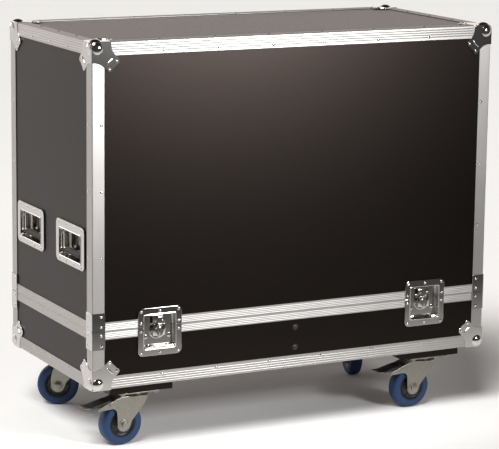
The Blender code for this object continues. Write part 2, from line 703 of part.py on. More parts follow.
def brake_pedal(place):
    """Foot pedal over the wheel, hinged between the fork's shoulders, in the released position."""
    top = [(0.0655, 0.1065), (0.0700, 0.1085), (0.1120, 0.0985), (0.1300, 0.0975), (0.1300, 0.0960),
           (0.1120, 0.0950), (0.0900, 0.0965), (0.0655, 0.1000)]
    half = FORK_HALF - 0.001
    body = plate(top, -half, half, "y", name=f"brake_pedal_{place}", look="pedal")
    return body


PEDAL_PIVOT = (0.0680, 0.1035)  # along the trail, and up


def castors():
    for place, spot in CASTORS.items():
        braked = place.startswith("f")
        stand_at(castor_plate(place), spot, 0, 0)
        pieces = [castor_fork(place, braked), castor_wheel(place)]
        if braked:
            pieces.append(brake_pedal(place))
        for piece in pieces:
            stand_at(piece, spot, 0, HEADINGS[place])


def main():
    clear_scene()
    floor = base_shell()
    ceiling = hood_shell()
    lining("base_foam", floor + GAP, 1, Z_SPLIT - GAP)
    lining("hood_foam", ceiling - GAP, -1, Z_SPLIT + TONGUE_UP)
    divider(floor)
    latches()
    handles()
    castors()


main()
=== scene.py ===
"""A touring case on castors: a padded base tray under a tall lift-off hood.

Sizes are in metres and +Z is up. The front is the -Y side, and the left end is the -X side.
"""

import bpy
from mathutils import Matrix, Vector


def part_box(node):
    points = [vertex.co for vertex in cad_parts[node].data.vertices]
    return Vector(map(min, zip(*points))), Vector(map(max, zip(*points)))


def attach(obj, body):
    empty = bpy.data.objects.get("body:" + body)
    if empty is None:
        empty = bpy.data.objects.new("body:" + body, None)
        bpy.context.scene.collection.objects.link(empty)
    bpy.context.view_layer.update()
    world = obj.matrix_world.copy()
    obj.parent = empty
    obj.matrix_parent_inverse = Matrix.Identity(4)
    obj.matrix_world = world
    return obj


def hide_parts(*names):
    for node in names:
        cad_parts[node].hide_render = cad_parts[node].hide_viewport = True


bl_info = {
    "name": "Touring Case",
    "version": (1, 0, 0),
    "blender": (4, 5, 0),
    "location": "3D View > Sidebar > Case",
    "description": "Builds the edging, hardware, castors and lining of a touring case on its frame",
    "category": "Object",
}

from math import atan2, cos, pi, radians, sin

import bmesh
import bpy
from bpy.props import FloatProperty, FloatVectorProperty, IntProperty, PointerProperty
from mathutils import Matrix, Vector

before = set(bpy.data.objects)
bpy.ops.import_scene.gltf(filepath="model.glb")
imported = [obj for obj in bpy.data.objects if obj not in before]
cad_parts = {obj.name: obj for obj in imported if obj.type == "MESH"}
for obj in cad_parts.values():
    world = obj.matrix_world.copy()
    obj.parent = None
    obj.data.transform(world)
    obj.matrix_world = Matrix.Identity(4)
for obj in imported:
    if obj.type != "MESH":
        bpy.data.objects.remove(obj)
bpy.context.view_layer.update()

# Sizes of the case, from its frame
SKIN = 0.0018  # outer face of a panel, in from the outer face of the edging
HALF_W, HALF_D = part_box("base_rim")[1].x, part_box("base_rim")[1].y
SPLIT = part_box("hood_rim")[0].z - 0.00015
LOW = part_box("base_front_panel")[0].z - SKIN
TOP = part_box("hood_front_panel")[1].z + SKIN
PLACES = ("front_left", "front_right", "back_left", "back_right")
ENDS = ("left_front", "left_back", "right_front", "right_back")
WHEELS = ("fl", "fr", "rl", "rr")
CORNERS = [(side, end) for side in (-1, 1) for end in (-1, 1)]

WELD = 1e-6  # vertices closer than this are one
HAIR = 1e-7  # coordinates that differ by less agree
FLAT_AREA = 0.0003  # larger faces are plane, and shaded so
CREASE = 35  # degrees between two faces, from which the edge between them is sharp
PRESSED = 0.0012  # outer face of the corner plates above the edging, and the thickness of the dishes
JOINT_GAP = 0.001  # between an angle and the next one at a corner
POST_STOP = 0.0203  # from the split to the end of a corner post, just past the rim
ANGLE_GROOVES = (0.22, 0.40, 0.58, 0.76)  # places of the grooves, as shares of an angle's face
RIM_GROOVES = (4.2, 8.0, 11.8, 15.6)  # millimetres of the rim's grooves from the split
AXIS_Z = -11  # millimetres, height of a latch's spindle from the split
AXLE = (0.036, 0.050)  # trail of an axle behind its swivel pin, and its height
CAMERA_SPOT = (-2.4455, -4.7455, 1.485)


def centre(node):
    """The middle of a CAD node's box."""
    low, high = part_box(node)
    return (low + high) / 2


def mm(*values):
    """Millimetres as metres."""
    return tuple(value / 1000 for value in values)


# --- shapes -----------------------------------------------------------------------------------


def bevelled(bm, edges, width, segments=2):
    """Rounds the edges of a bmesh."""
    bmesh.ops.bevel(
        bm, geom=list(edges), offset=width, offset_type="OFFSET", segments=segments,
        profile=0.5, affect="EDGES", clamp_overlap=True, material=-1,
    )
    return bm


def sharp_edges(bm, least=30):
    """Edges where two faces meet at more than an angle in degrees."""
    return [e for e in bm.edges if len(e.link_faces) == 2 and e.calc_face_angle(0) > radians(least)]


def moved(bm, matrix):
    """The same shape, moved."""
    bmesh.ops.transform(bm, matrix=matrix, verts=bm.verts)
    return bm


def block(low, high, bevel=0.0005, segments=2):
    """A rectangular block with rounded edges."""
    low, high = Vector(low), Vector(high)
    bm = bmesh.new()
    place = Matrix.Translation((low + high) / 2) @ Matrix.Diagonal((*(high - low), 1.0))
    bmesh.ops.create_cube(bm, size=1.0, matrix=place)
    return bevelled(bm, bm.edges, bevel, segments) if bevel else bm


def turned(profile, steps=32, closed=False):
    """A shape turned about its own Z axis, from radius and height pairs."""
    bm = bmesh.new()
    line = [bm.verts.new((radius, 0, height)) for radius, height in profile]
    edges = [bm.edges.new(pair) for pair in zip(line, line[1:])]
    if closed:
        edges.append(bm.edges.new((line[-1], line[0])))
    bmesh.ops.spin(
        bm, geom=line + edges, cent=(0, 0, 0), axis=(0, 0, 1), angle=2 * pi, steps=steps, use_merge=True
    )
    bmesh.ops.remove_doubles(bm, verts=bm.verts, dist=WELD)
    return bm


def turned_mm(profile, steps=32, closed=False):
    """A turned shape whose profile is in millimetres."""
    return turned([mm(*pair) for pair in profile], steps, closed)


def drum(radius, low, high, steps=24, bevel=0.0005):
    """A round bar about Z with eased ends."""
    b = min(bevel, radius / 3, (high - low) / 3)
    return turned(
        [(0, low), (radius - b, low), (radius - b * 0.3, low + b * 0.3), (radius, low + b),
         (radius, high - b), (radius - b * 0.3, high - b * 0.3), (radius - b, high), (0, high)], steps
    )


def drawn_out(corners, way):
    """A flat outline, drawn out along a vector."""
    bm = bmesh.new()
    face = bm.faces.new([bm.verts.new(corner) for corner in corners])
    raised = bmesh.ops.extrude_face_region(bm, geom=[face])["geom"]
    verts = [v for v in raised if isinstance(v, bmesh.types.BMVert)]
    bmesh.ops.translate(bm, verts=verts, vec=way)
    bmesh.ops.recalc_face_normals(bm, faces=bm.faces)
    return bm


def prism(outline, low, high, bevel=0.0005, segments=2):
    """An outline in the XY plane, given a thickness in Z."""
    bm = drawn_out([(x, y, low) for x, y in outline], (0, 0, high - low))
    if bevel:
        flat = [e for e in bm.edges if abs(e.verts[0].co.z - e.verts[1].co.z) < HAIR]
        bevelled(bm, flat, bevel, segments)
    return bm


def arc(middle, radius, angles):
    """Points on a circle, at angles in degrees."""
    x, y = middle
    return [(x + radius * cos(radians(a)), y + radius * sin(radians(a))) for a in angles]


def rounded(half_x, low_y, high_y, radius_low, radius_high, steps=6):
    """Corners of a rectangle with round corners, with its own radius at the low and high edges."""
    spots = ((1, 1, 0), (-1, 1, 1), (-1, -1, 2), (1, -1, 3))
    points = []
    for sx, sy, quarter in spots:
        radius = radius_high if sy > 0 else radius_low
        x, y = sx * (half_x - radius), (high_y - radius if sy > 0 else low_y + radius)
        count = steps if radius > 1e-6 else 0
        for k in range(count + 1):
            a = pi / 2 * (quarter + (k / steps if count else 0.5))
            points.append((x + radius * cos(a), y + radius * sin(a)))
    return points


def bent_rod(path, radius, bend, sides=14):
    """A round bar through straight runs, with an arc of the bend radius at each turn."""
    points = [Vector(p) for p in path]
    bm = bmesh.new()
    first = (points[1] - points[0]).normalized()
    start = Matrix.Translation(points[0]) @ first.to_track_quat("Z", "Y").to_matrix().to_4x4()
    bmesh.ops.create_circle(bm, cap_ends=False, segments=sides, radius=radius, matrix=start)
    ring = list(bm.edges)
    here = points[0]
    for index in range(1, len(points)):
        along = (points[index] - points[index - 1]).normalized()
        last = index == len(points) - 1
        stop = points[index] if last else points[index] - along * bend
        out = bmesh.ops.extrude_edge_only(bm, edges=ring)["geom"]
        ring = [g for g in out if isinstance(g, bmesh.types.BMEdge)]
        bmesh.ops.translate(bm, verts=list({v for e in ring for v in e.verts}), vec=stop - here)
        here = stop
        if not last:
            onward = (points[index + 1] - points[index]).normalized()
            axis = along.cross(onward).normalized()
            hub = stop + onward * bend
            out = bmesh.ops.spin(
                bm, geom=ring, cent=hub, axis=axis, angle=along.angle(onward), steps=5
            )["geom_last"]
            ring = [g for g in out if isinstance(g, bmesh.types.BMEdge)]
            here = stop + along * bend + onward * bend
    bmesh.ops.holes_fill(bm, edges=[e for e in bm.edges if len(e.link_faces) == 1], sides=0)
    return bm


def carved(bm, *cutters):
    """The first shape with the others cut out of it."""
    body = temporary(bm)
    for cutter in cutters:
        tool = temporary(cutter)
        step = body.modifiers.new("Cut", "BOOLEAN")
        step.operation, step.solver, step.object = "DIFFERENCE", "EXACT", tool
        bpy.context.view_layer.update()
        made = bpy.data.meshes.new_from_object(body.evaluated_get(bpy.context.evaluated_depsgraph_get()))
        body.modifiers.clear()
        body.data = made
        bpy.data.objects.remove(tool)
    result = bmesh.new()
    result.from_mesh(body.data)
    bpy.data.objects.remove(body)
    bmesh.ops.remove_doubles(result, verts=result.verts, dist=WELD)
    return result


def temporary(bm):
    """A short-lived object with a shape's mesh."""
    bmesh.ops.recalc_face_normals(bm, faces=bm.faces)
    mesh = bpy.data.meshes.new("temporary")
    bm.to_mesh(mesh)
    bm.free()
    made = bpy.data.objects.new("temporary", mesh)
    bpy.context.scene.collection.objects.link(made)
    return made


def basis(x, y, z, at=(0, 0, 0)):
    """The matrix that takes local X, Y and Z to three directions, from a spot."""
    turn = Matrix((Vector(x), Vector(y), Vector(z))).transposed().to_4x4()
    return Matrix.Translation(at) @ turn


class Piece:
    """A mesh gathered from several shapes, then finished as one object of the case."""

    def __init__(self, name):
        self.name = name
        self.bm = bmesh.new()

    def add(self, bm, matrix=None):
        """Takes in a shape, and frees it."""
        bmesh.ops.recalc_face_normals(bm, faces=bm.faces)
        mesh = bpy.data.meshes.new("part")
        bm.to_mesh(mesh)
        bm.free()
        return self.add_mesh(mesh, matrix, keep=False)

    def add_mesh(self, mesh, matrix=None, keep=True):
        """Takes in a mesh; a mirroring matrix also turns its faces round."""
        known = len(self.bm.verts)
        faces = len(self.bm.faces)
        self.bm.from_mesh(mesh)
        if matrix is not None:
            self.bm.verts.ensure_lookup_table()
            bmesh.ops.transform(self.bm, matrix=matrix, verts=self.bm.verts[known:])
            if matrix.determinant() < 0:
                self.bm.faces.ensure_lookup_table()
                bmesh.ops.reverse_faces(self.bm, faces=self.bm.faces[faces:])
        if not keep:
            bpy.data.meshes.remove(mesh)
        return self

    def as_mesh(self):
        """The gathered shapes as a mesh, which ends the gathering."""
        mesh = bpy.data.meshes.new(self.name)
        self.bm.to_mesh(mesh)
        self.bm.free()
        return mesh

    def finish(self, body, slot, material, replaces=()):
        """Makes the object, gives it its material, and ties it to its body. The slot is not used."""
        mesh = self.as_mesh()
        mesh.materials.append(material)
        mesh.shade_smooth()
        mesh.set_sharp_from_angle(angle=radians(CREASE))
        for face in mesh.polygons:
            face.use_smooth = face.area < FLAT_AREA
        made = bpy.data.objects.new(self.name, mesh)
        bpy.context.scene.collection.objects.link(made)
        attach(made, body)
        if replaces:
            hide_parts(*replaces)
        return made


def rivet_mesh(radius=0.0034, proud=0.0016):
    """A low domed rivet head that stands on Z = 0."""
    known = bpy.data.meshes.get(f"rivet_{radius:.4f}")
    if known:
        return known
    bm = turned([(0, proud), (radius * 0.45, proud * 0.9), (radius * 0.8, proud * 0.55),
                 (radius, 0.0002), (radius, -0.0004), (0, -0.0004)], 12)
    bmesh.ops.recalc_face_normals(bm, faces=bm.faces)
    mesh = bpy.data.meshes.new(f"rivet_{radius:.4f}")
    bm.to_mesh(mesh)
    bm.free()
    mesh.use_fake_user = True
    return mesh


def facing(spot, out):
    """The matrix that stands a rivet or bolt on a face with that outward direction."""
    return Matrix.Translation(spot) @ Vector(out).to_track_quat("Z", "Y").to_matrix().to_4x4()


# --- finishes ---------------------------------------------------------------------------------


class Wire:
    """A shader output. Arithmetic on it adds Math nodes."""

    def __init__(self, finish, socket):
        self.finish, self.socket = finish, socket

    def maths(self, operation, *values):
        return self.finish.node("ShaderNodeMath", {"operation": operation}, dict(enumerate(values)))

    def __add__(self, other):
        return self.maths("ADD", self, other)

    __radd__ = __add__

    def __sub__(self, other):
        return self.maths("SUBTRACT", self, other)

    def __rsub__(self, other):
        return self.maths("SUBTRACT", other, self)

    def __mul__(self, other):
        return self.maths("MULTIPLY", self, other)

    __rmul__ = __mul__

    def above(self, low, high):
        """0 below low and 1 above high."""
        return self.finish.node(
            "ShaderNodeMapRange", {"interpolation_type": "SMOOTHSTEP"},
            {"Value": self, "From Min": low, "From Max": high},
        )


NAMES = {"specular_ior_level": "Specular IOR Level"}


class Finish:
    """A surface finish built on one Principled shader."""

    def __init__(self, name, **constants):
        self.material = bpy.data.materials.new(name)
        self.material.use_nodes = True
        self.tree = self.material.node_tree
        self.shader = self.tree.nodes["Principled BSDF"]
        self.place = self.node("ShaderNodeTexCoord", {}, {}, "Object")
        self.set(**constants)

    def node(self, kind, settings, values, output=0):
        """Adds a node with its settings and its socket values or links, and gives one output."""
        made = self.tree.nodes.new(kind)
        for name, value in settings.items():
            setattr(made, name, value)
        for socket, value in values.items():
            self.feed(made.inputs[socket], value)
        return Wire(self, made.outputs[output])

    def feed(self, socket, value):
        if isinstance(value, Wire):
            self.tree.links.new(value.socket, socket)
        else:
            socket.default_value = value

    def set(self, **values):
        for name, value in values.items():
            self.feed(self.shader.inputs[NAMES.get(name, name.replace("_", " ").title())], value)
        return self

    def noise(self, scale, detail=3.0, roughness=0.5, stretch=(1, 1, 1)):
        where = self.node("ShaderNodeMapping", {}, {"Vector": self.place, "Scale": stretch})
        values = {"Vector": where, "Scale": scale, "Detail": detail, "Roughness": roughness}
        return self.node("ShaderNodeTexNoise", {}, values)

    def cells(self, scale, feature="F1"):
        place = {"Vector": self.place, "Scale": scale}
        return self.node("ShaderNodeTexVoronoi", {"feature": feature}, place, "Distance")

    def blend(self, factor, dark, light):
        """The dark colour where the factor is 0, and the light one where it is 1."""
        return self.node(
            "ShaderNodeMix", {"data_type": "RGBA"},
            {"Factor": factor, 6: rgba(dark), 7: rgba(light)}, 2,
        )

    def along(self, axis):
        """One coordinate of the place being shaded."""
        parts = self.tree.nodes.new("ShaderNodeSeparateXYZ")
        self.tree.links.new(self.place.socket, parts.inputs[0])
        return Wire(self, parts.outputs[axis])

    def bumped(self, height, strength=0.3, distance=0.0005):
        values = {"Height": height, "Strength": strength, "Distance": distance}
        return self.set(normal=self.node("ShaderNodeBump", {}, values))


def rgba(colour):
    return colour if isinstance(colour, Wire) else (*tuple(colour)[:3], 1.0)


def shaded(colour, factor):
    """A colour made darker or lighter."""
    return tuple(value * factor for value in tuple(colour)[:3])


def cached(build):
    """Keeps one material for each finish."""
    def get(*args):
        name = "_".join([build.__name__, *map(str, args)])
        found = bpy.data.materials.get(name)
        return found or build(name, bpy.context.scene.case_finishes, *args)
    return get


@cached
def laminate(name, looks):
    """Pebbled laminate: a tight grain of low bumps over soft changes of tone, and faint scuffs."""
    f = Finish(name, specular_ior_level=0.25, specular_tint=(1.0, 0.80, 0.72, 1.0))
    pebble, grit = f.cells(620.0), f.noise(380.0, 2.0)
    tone = f.noise(2.4, 4.0)
    scuff = f.noise(26.0, 6.0, 0.62, (1.0, 1.0, 0.22)).above(0.64, 0.80)
    base = f.blend(tone.above(0.3, 0.7), shaded(looks.laminate, 0.85), shaded(looks.laminate, 1.2))
    grained = f.blend(pebble.above(0.1, 0.75) * 0.5, base, shaded(looks.laminate, 1.5))
    f.set(base_color=f.blend(scuff * 0.16, grained, shaded(looks.laminate, 3.5)))
    f.set(roughness=0.25 + 0.20 * grit - 0.05 * scuff)
    return f.bumped(pebble * 0.8 + grit * 0.4, 0.22, 0.00035).material


@cached
def aluminium(name, looks, run):
    """Drawn aluminium with fine lines along its run, handled to a soft shine."""
    stretch = {"x": (0.012, 1, 1), "y": (1, 0.012, 1), "z": (1, 1, 0.012)}[run]
    f = Finish(name, metallic=1.0)
    lines, hands = f.noise(1500.0, 2.0, 0.5, stretch), f.noise(9.0, 4.0)
    f.set(base_color=f.blend(lines * 0.6 + hands * 0.4, shaded(looks.aluminium, 0.9), looks.aluminium))
    f.set(roughness=0.36 + 0.12 * lines + 0.08 * hands)
    return f.bumped(lines, 0.10, 0.0001).material


@cached
def bright_steel(name, looks):
    """Plated pressed steel: a clear shine, with faint ripples and hand marks."""
    f = Finish(name, metallic=1.0)
    ripple, marks = f.noise(60.0, 2.0), f.noise(240.0, 4.0)
    f.set(base_color=f.blend(ripple, shaded(looks.plating, 0.82), looks.plating))
    f.set(roughness=0.05 + 0.08 * marks.above(0.35, 0.75))
    return f.bumped(ripple, 0.05, 0.0005).material


@cached
def zinc(name, looks):
    """Zinc-plated sheet with a dull, slightly blotched shine."""
    f = Finish(name, metallic=1.0)
    spangle, fine = f.cells(120.0, "SMOOTH_F1"), f.noise(400.0, 3.0)
    f.set(base_color=f.blend(spangle * 0.8 + fine * 0.3, shaded(looks.zinc, 0.8), looks.zinc))
    f.set(roughness=0.30 + 0.16 * fine)
    return f.bumped(fine, 0.08, 0.0002).material


@cached
def tyre_blue(name, looks):
    """Elastic tyre with a satin skin, dusty where it has rolled."""
    f = Finish(name)
    dust, skin = f.noise(35.0, 5.0, 0.6), f.noise(700.0, 2.0)
    f.set(base_color=f.blend(dust.above(0.55, 0.85) * 0.35, looks.tyre, (0.05, 0.10, 0.18)))
    f.set(roughness=0.42 + 0.2 * dust)
    return f.bumped(skin, 0.15, 0.0002).material


@cached
def black_plastic(name, looks):
    """Moulded black plastic with a fine skin, greyer where it is worn."""
    f = Finish(name)
    skin, wear = f.noise(1100.0, 2.0), f.noise(40.0, 5.0)
    f.set(base_color=f.blend(wear.above(0.5, 0.9) * 0.4, (0.010, 0.010, 0.011), (0.035, 0.034, 0.033)))
    f.set(roughness=0.34 + 0.2 * wear)
    return f.bumped(skin, 0.18, 0.0002).material


@cached
def grip_rubber(name, looks):
    """Dark grip rubber, duller than the plastic and paler where hands have worn it."""
    f = Finish(name)
    skin, worn = f.noise(800.0, 3.0), f.noise(55.0, 4.0)
    f.set(base_color=f.blend(worn.above(0.4, 0.8) * 0.5, (0.018, 0.017, 0.016), (0.055, 0.05, 0.048)))
    f.set(roughness=0.5 + 0.2 * worn)
    return f.bumped(skin, 0.25, 0.0003).material


@cached
def foam(name, looks):
    """Open-cell lining foam: small dark pores in a matt sheet."""
    f = Finish(name, roughness=0.95, specular_ior_level=0.1)
    pores, tone = f.cells(430.0), f.noise(6.0, 3.0)
    grey = f.blend(tone, shaded(looks.foam, 0.8), shaded(looks.foam, 1.3))
    f.set(base_color=f.blend(pores.above(0.05, 0.5), shaded(looks.foam, 0.35), grey))
    return f.bumped(pores, 0.6, 0.0008).material


@cached
def plywood(name, looks):
    """Dark-stained birch ply, with the grain along the board."""
    f = Finish(name)
    grain, pores = f.noise(60.0, 6.0, 0.65, (1.0, 0.06, 1.0)), f.noise(420.0, 3.0, 0.6, (1.0, 0.05, 1.0))
    f.set(base_color=f.blend(grain.above(0.3, 0.72), shaded(looks.ply, 0.55), looks.ply))
    f.set(roughness=0.5 + 0.2 * pores)
    return f.bumped(grain * 0.5 + pores * 0.5, 0.2, 0.0003).material


# --- settings ---------------------------------------------------------------------------------


def length(name, description, default):
    return FloatProperty(
        name=name, description=description, default=default, min=0.0, unit="LENGTH", precision=4
    )


def angle(name, description, default):
    return FloatProperty(name=name, description=description, default=radians(default), subtype="ANGLE")


def colour(name, description, default):
    return FloatVectorProperty(
        name=name, description=description, default=default, min=0.0, max=1.0, size=3, subtype="COLOR"
    )


class CaseFinishes(bpy.types.PropertyGroup):
    """Colours of the case's finishes."""

    laminate: colour("Laminate", "Tone of the pebbled panels", (0.0010, 0.0007, 0.0005))
    aluminium: colour("Aluminium", "Tone of the edging", (0.47, 0.456, 0.442))
    plating: colour("Plating", "Tone of the plated hardware", (0.28, 0.262, 0.243))
    zinc: colour("Zinc", "Tone of the castor forks", (0.31, 0.295, 0.255))
    tyre: colour("Tyre", "Tone of the tyres", (0.0008, 0.026, 0.095))
    foam: colour("Foam", "Tone of the lining", (0.045, 0.044, 0.043))
    ply: colour("Plywood", "Tone of the divider board", (0.10, 0.07, 0.05))


class CaseEdging(bpy.types.PropertyGroup):
    """Sizes of the edging and the corners."""

    leg: length("Leg", "Width of each face of the edging angle", 0.030)
    wall: length("Wall", "Thickness of the edging angle", 0.0015)
    groove: length("Groove", "Depth of the fine grooves along the edging", 0.0007)
    groove_width: length("Groove width", "Width of each groove", 0.0026)
    ball: length("Ball", "Radius of the corner balls", 0.020)
    ball_in: length("Ball inset", "Centre of a corner ball, in from each face", 0.0135)
    rivet_in: length("Rivet inset", "Rivets, in from the corner of the edging", 0.0225)
    rivet_pitch: length("Rivet pitch", "Distance between the rivets along the front", 0.1365)


class CaseHardware(bpy.types.PropertyGroup):
    """Sizes of the latches and handles."""

    bead: length("Bead", "Radius of the pressed bead round each dish", 0.0012)
    grip: length("Grip", "Radius of the handle grips", 0.0075)
    grip_ribs: IntProperty(name="Grip ribs", description="Ribs along each handle grip", default=14, min=0)


class CaseCastors(bpy.types.PropertyGroup):
    """Sizes of the castors."""

    wheel: length("Wheel", "Radius of each wheel", 0.050)
    tread: length("Tread", "Width of each tyre", 0.032)
    tyre: length("Tyre", "Depth of the tyre round its rim", 0.0180)


class CaseStage(bpy.types.PropertyGroup):
    """Floor, light and camera."""

    floor: colour("Floor", "Tone of the floor", (0.92, 0.92, 0.92))
    lens: FloatProperty(name="Lens", description="Focal length", default=163.84, min=1.0, unit="CAMERA")
    heading: angle("Heading", "Camera heading", 27.27)
    dip: angle("Dip", "Camera tilt below the horizon", 11.04)
    roll: angle("Roll", "Camera roll", 0.69)


# --- edging -----------------------------------------------------------------------------------


def groove(bm, across, out, offsets, sizes):
    """V grooves along X in the face whose outward direction is given, at offsets along another axis."""
    half = sizes.groove_width / 2
    for offset in offsets:
        for step in (-half, 0, half):
            bmesh.ops.bisect_plane(
                bm, geom=bm.verts[:] + bm.edges[:] + bm.faces[:], dist=WELD,
                plane_co=Vector(across) * (offset + step), plane_no=across,
            )
        deepest = [
            v for v in bm.verts
            if abs(v.co.dot(Vector(across)) - offset) < 2e-6 and abs(v.co.dot(Vector(out))) < 2e-6
        ]
        bmesh.ops.translate(bm, verts=deepest, vec=Vector(out) * -sizes.groove)
    return bm


def section_bar(section, run):
    """A section in the YZ plane drawn out along X."""
    return drawn_out([(0, y, z) for y, z in section], (run, 0, 0))


def angle_bar(run, sizes, lined=True):
    """Edging angle along X: one face at Y = 0, the other at Z = 0, with its corner on the X axis."""
    leg, wall = sizes.leg, sizes.wall
    bm = section_bar([(0, 0), (leg, 0), (leg, -wall), (wall, -wall), (wall, -leg), (0, -leg)], run)
    corner = [e for e in bm.edges if all(abs(v.co.y) < HAIR and abs(v.co.z) < HAIR for v in e.verts)]
    lips = [
        e for e in bm.edges
        if abs(e.verts[0].co.x - e.verts[1].co.x) > run / 2 and e not in corner
        and any(abs(abs(c) - leg) < HAIR for c in e.verts[0].co.yz)
    ]
    bevelled(bm, corner, 0.0024, 4)
    bevelled(bm, [e for e in lips if e.is_valid], 0.0005, 1)
    spots = [leg * share for share in ANGLE_GROOVES] if lined else []
    groove(bm, (0, 1, 0), (0, 0, 1), spots, sizes)
    groove(bm, (0, 0, -1), (0, -1, 0), spots, sizes)
    return bm


RIM_BASE = [(0, -20), (0, -0.15), (5, -0.15), (5, 6), (7.5, 6), (7.5, -0.15), (13, -0.15), (13, -20),
            (11.1, -20), (11.1, -4), (1.5, -4), (1.5, -20)]
RIM_HOOD = [(0, 20), (0, 0.15), (4.5, 0.15), (4.5, 6.5), (8, 6.5), (8, 0.15), (13, 0.15), (13, 20),
            (11.1, 20), (11.1, 9.5), (1.5, 9.5), (1.5, 20)]


def rim_bar(section, start, stop, sizes, mitred):
    """Part of a rim along X, its outer face at Y = 0, with a mitre at its start, its stop or both."""
    run = stop - start
    bm = section_bar([mm(y, z) for y, z in section], run)
    up = 1 if section[0][1] > 0 else -1
    edges = [e for e in sharp_edges(bm) if abs(e.verts[0].co.x - e.verts[1].co.x) > run / 2]
    bevelled(bm, edges, 0.0003, 1)
    groove(bm, (0, 0, 1), (0, -1, 0), [up * z / 1000 for z in RIM_GROOVES], sizes)
    for v in bm.verts:
        if mitred[0] and v.co.x < run / 2:
            v.co.x += v.co.y
        if mitred[1] and v.co.x > run / 2:
            v.co.x -= v.co.y
    return moved(bm, Matrix.Translation((start, 0, 0)))


def edging_bars(half, z, up, sizes):
    """The angles of the base or the hood: round its flat face, and up its four corners."""
    clear = sizes.leg + JOINT_GAP
    z_open = SPLIT - up * POST_STOP
    bars = {run: Piece(f"{half}_edging_{run}") for run in "xyz"}
    for sign in (-1, 1):
        wide = basis((1, 0, 0), (0, -sign, 0), (0, 0, -up), (-HALF_W + clear, sign * HALF_D, z))
        bars["x"].add(angle_bar(HALF_W * 2 - clear * 2, sizes), wide)
        deep = basis((0, 1, 0), (-sign, 0, 0), (0, 0, -up), (sign * HALF_W, -HALF_D + clear, z))
        bars["y"].add(angle_bar(HALF_D * 2 - clear * 2, sizes), deep)
    for side, end in CORNERS:
        foot = (side * HALF_W, end * HALF_D, z + up * clear)
        post = basis((0, 0, up), (-side, 0, 0), (0, end, 0), foot)
        bars["z"].add(angle_bar(abs(z_open - z) - clear, sizes, False), post)
    for run, piece in bars.items():
        nodes = (f"{half}_edging",) if run == "x" else ()
        piece.finish(half, "aluminium_edging", aluminium(run), nodes)


def rim(half, section, sizes):
    """The base or hood half of the two-part rim, broken where the latches are let in."""
    notch = 0.0427  # from the middle of a latch to the end of the rim beside it
    runs = {run: Piece(f"{half}_rim_{run}") for run in "xy"}
    centres = sorted(centre(f"latch_lower_dish_{place}").x for place in ("front_left", "front_right"))
    stops = [-HALF_W, centres[0] - notch, centres[0] + notch, centres[1] - notch, centres[1] + notch, HALF_W]
    for sign in (-1, 1):
        wide = basis((1, 0, 0), (0, -sign, 0), (0, 0, 1), (0, sign * HALF_D, SPLIT))
        for index in (0, 2, 4):
            mitred = (index == 0, index == 4)
            runs["x"].add(rim_bar(section, stops[index], stops[index + 1], sizes, mitred), wide)
        low, high = sorted((section[0][1] * 0.95, section[1][1] * 6))
        for x in centres:
            beside = Matrix.Translation((x, 0, 0))
            strap = block(mm(-46, 16.8, low), mm(46, 18.2, high), 0.0003, 1)
            runs["x"].add(moved(strap, beside), wide)
            for side in (-1, 1):
                ear = block(mm(43, 12, low), mm(46.7, 18.1, high), 0.0003, 1)
                runs["x"].add(moved(moved(ear, Matrix.Diagonal((side, 1, 1, 1))), beside), wide)
        deep = basis((0, 1, 0), (-sign, 0, 0), (0, 0, 1), (sign * HALF_W, 0, SPLIT))
        runs["y"].add(rim_bar(section, -HALF_D, HALF_D, sizes, (True, True)), deep)
    for run, piece in runs.items():
        nodes = (f"{half}_rim",) if run == "x" else ()
        piece.finish(half, "aluminium_edging", aluminium(run), nodes)


def corner_face(sizes):
    """The plate of one face of a ball corner, lying on the XY plane with the corner at the origin."""
    hub, reach = sizes.ball_in, sizes.ball_in + 0.0011
    half = arc((hub, hub), reach, (225, 240, 255, 270))
    scallop = [(45.5, -1.1), (45.7, 6), (46.6, 12), (48.4, 18), (51.0, 23), (54.2, 27.2), (57.6, 30.6),
               (61.0, 33.8)]
    lobe = arc((59.0, 41.8), 6.8, range(-50, 86, 27))
    waist = [(57.6, 50.4), (55.4, 53.4)]
    half += [mm(x, y) for x, y in scallop + lobe + waist]
    return half + [(y, x) for x, y in reversed(half[1:])]


def ball_corner(sizes):
    """A pressed ball corner in its own octant: the case is on the positive side of each axis."""
    unit = Piece("ball_corner")
    r, c = sizes.ball, sizes.ball_in
    sphere = bmesh.new()
    bmesh.ops.create_uvsphere(sphere, u_segments=40, v_segments=24, radius=r)
    moved(sphere, Matrix.Translation((c, c, c)))
    unit.add(carved(sphere, block((0.0009, 0.0009, 0.0009), (0.08, 0.08, 0.08), 0)))
    rib = bmesh.new()
    bmesh.ops.create_uvsphere(rib, u_segments=16, v_segments=8, radius=1.0)
    moved(rib, Matrix.Rotation(-pi / 4, 4, "Z") @ Matrix.Diagonal((0.0125, 0.0024, 0.0026, 1)))
    moved(rib, Matrix.Translation((0.0425, 0.0425, 0.0008)))
    ribs = bpy.data.meshes.new("ribs")
    rib.to_mesh(ribs)
    rib.free()
    for axes in ((0, 1, 2), (1, 2, 0), (2, 0, 1)):
        rows = [Vector((0, 0, 0)) for _ in range(3)]
        rows[0][axes[0]], rows[1][axes[1]], rows[2][axes[2]] = 1, 1, -1
        place = basis(*rows)
        unit.add(prism(corner_face(sizes), -0.0007, PRESSED), place)
        unit.add_mesh(ribs, place)
        for spot in ((0.0590, 0.0418), (0.0418, 0.0590)):
            unit.add_mesh(rivet_mesh(), place @ Matrix.Translation((*spot, PRESSED)))
    bmesh.ops.recalc_face_normals(unit.bm, faces=unit.bm.faces)
    return unit.as_mesh()


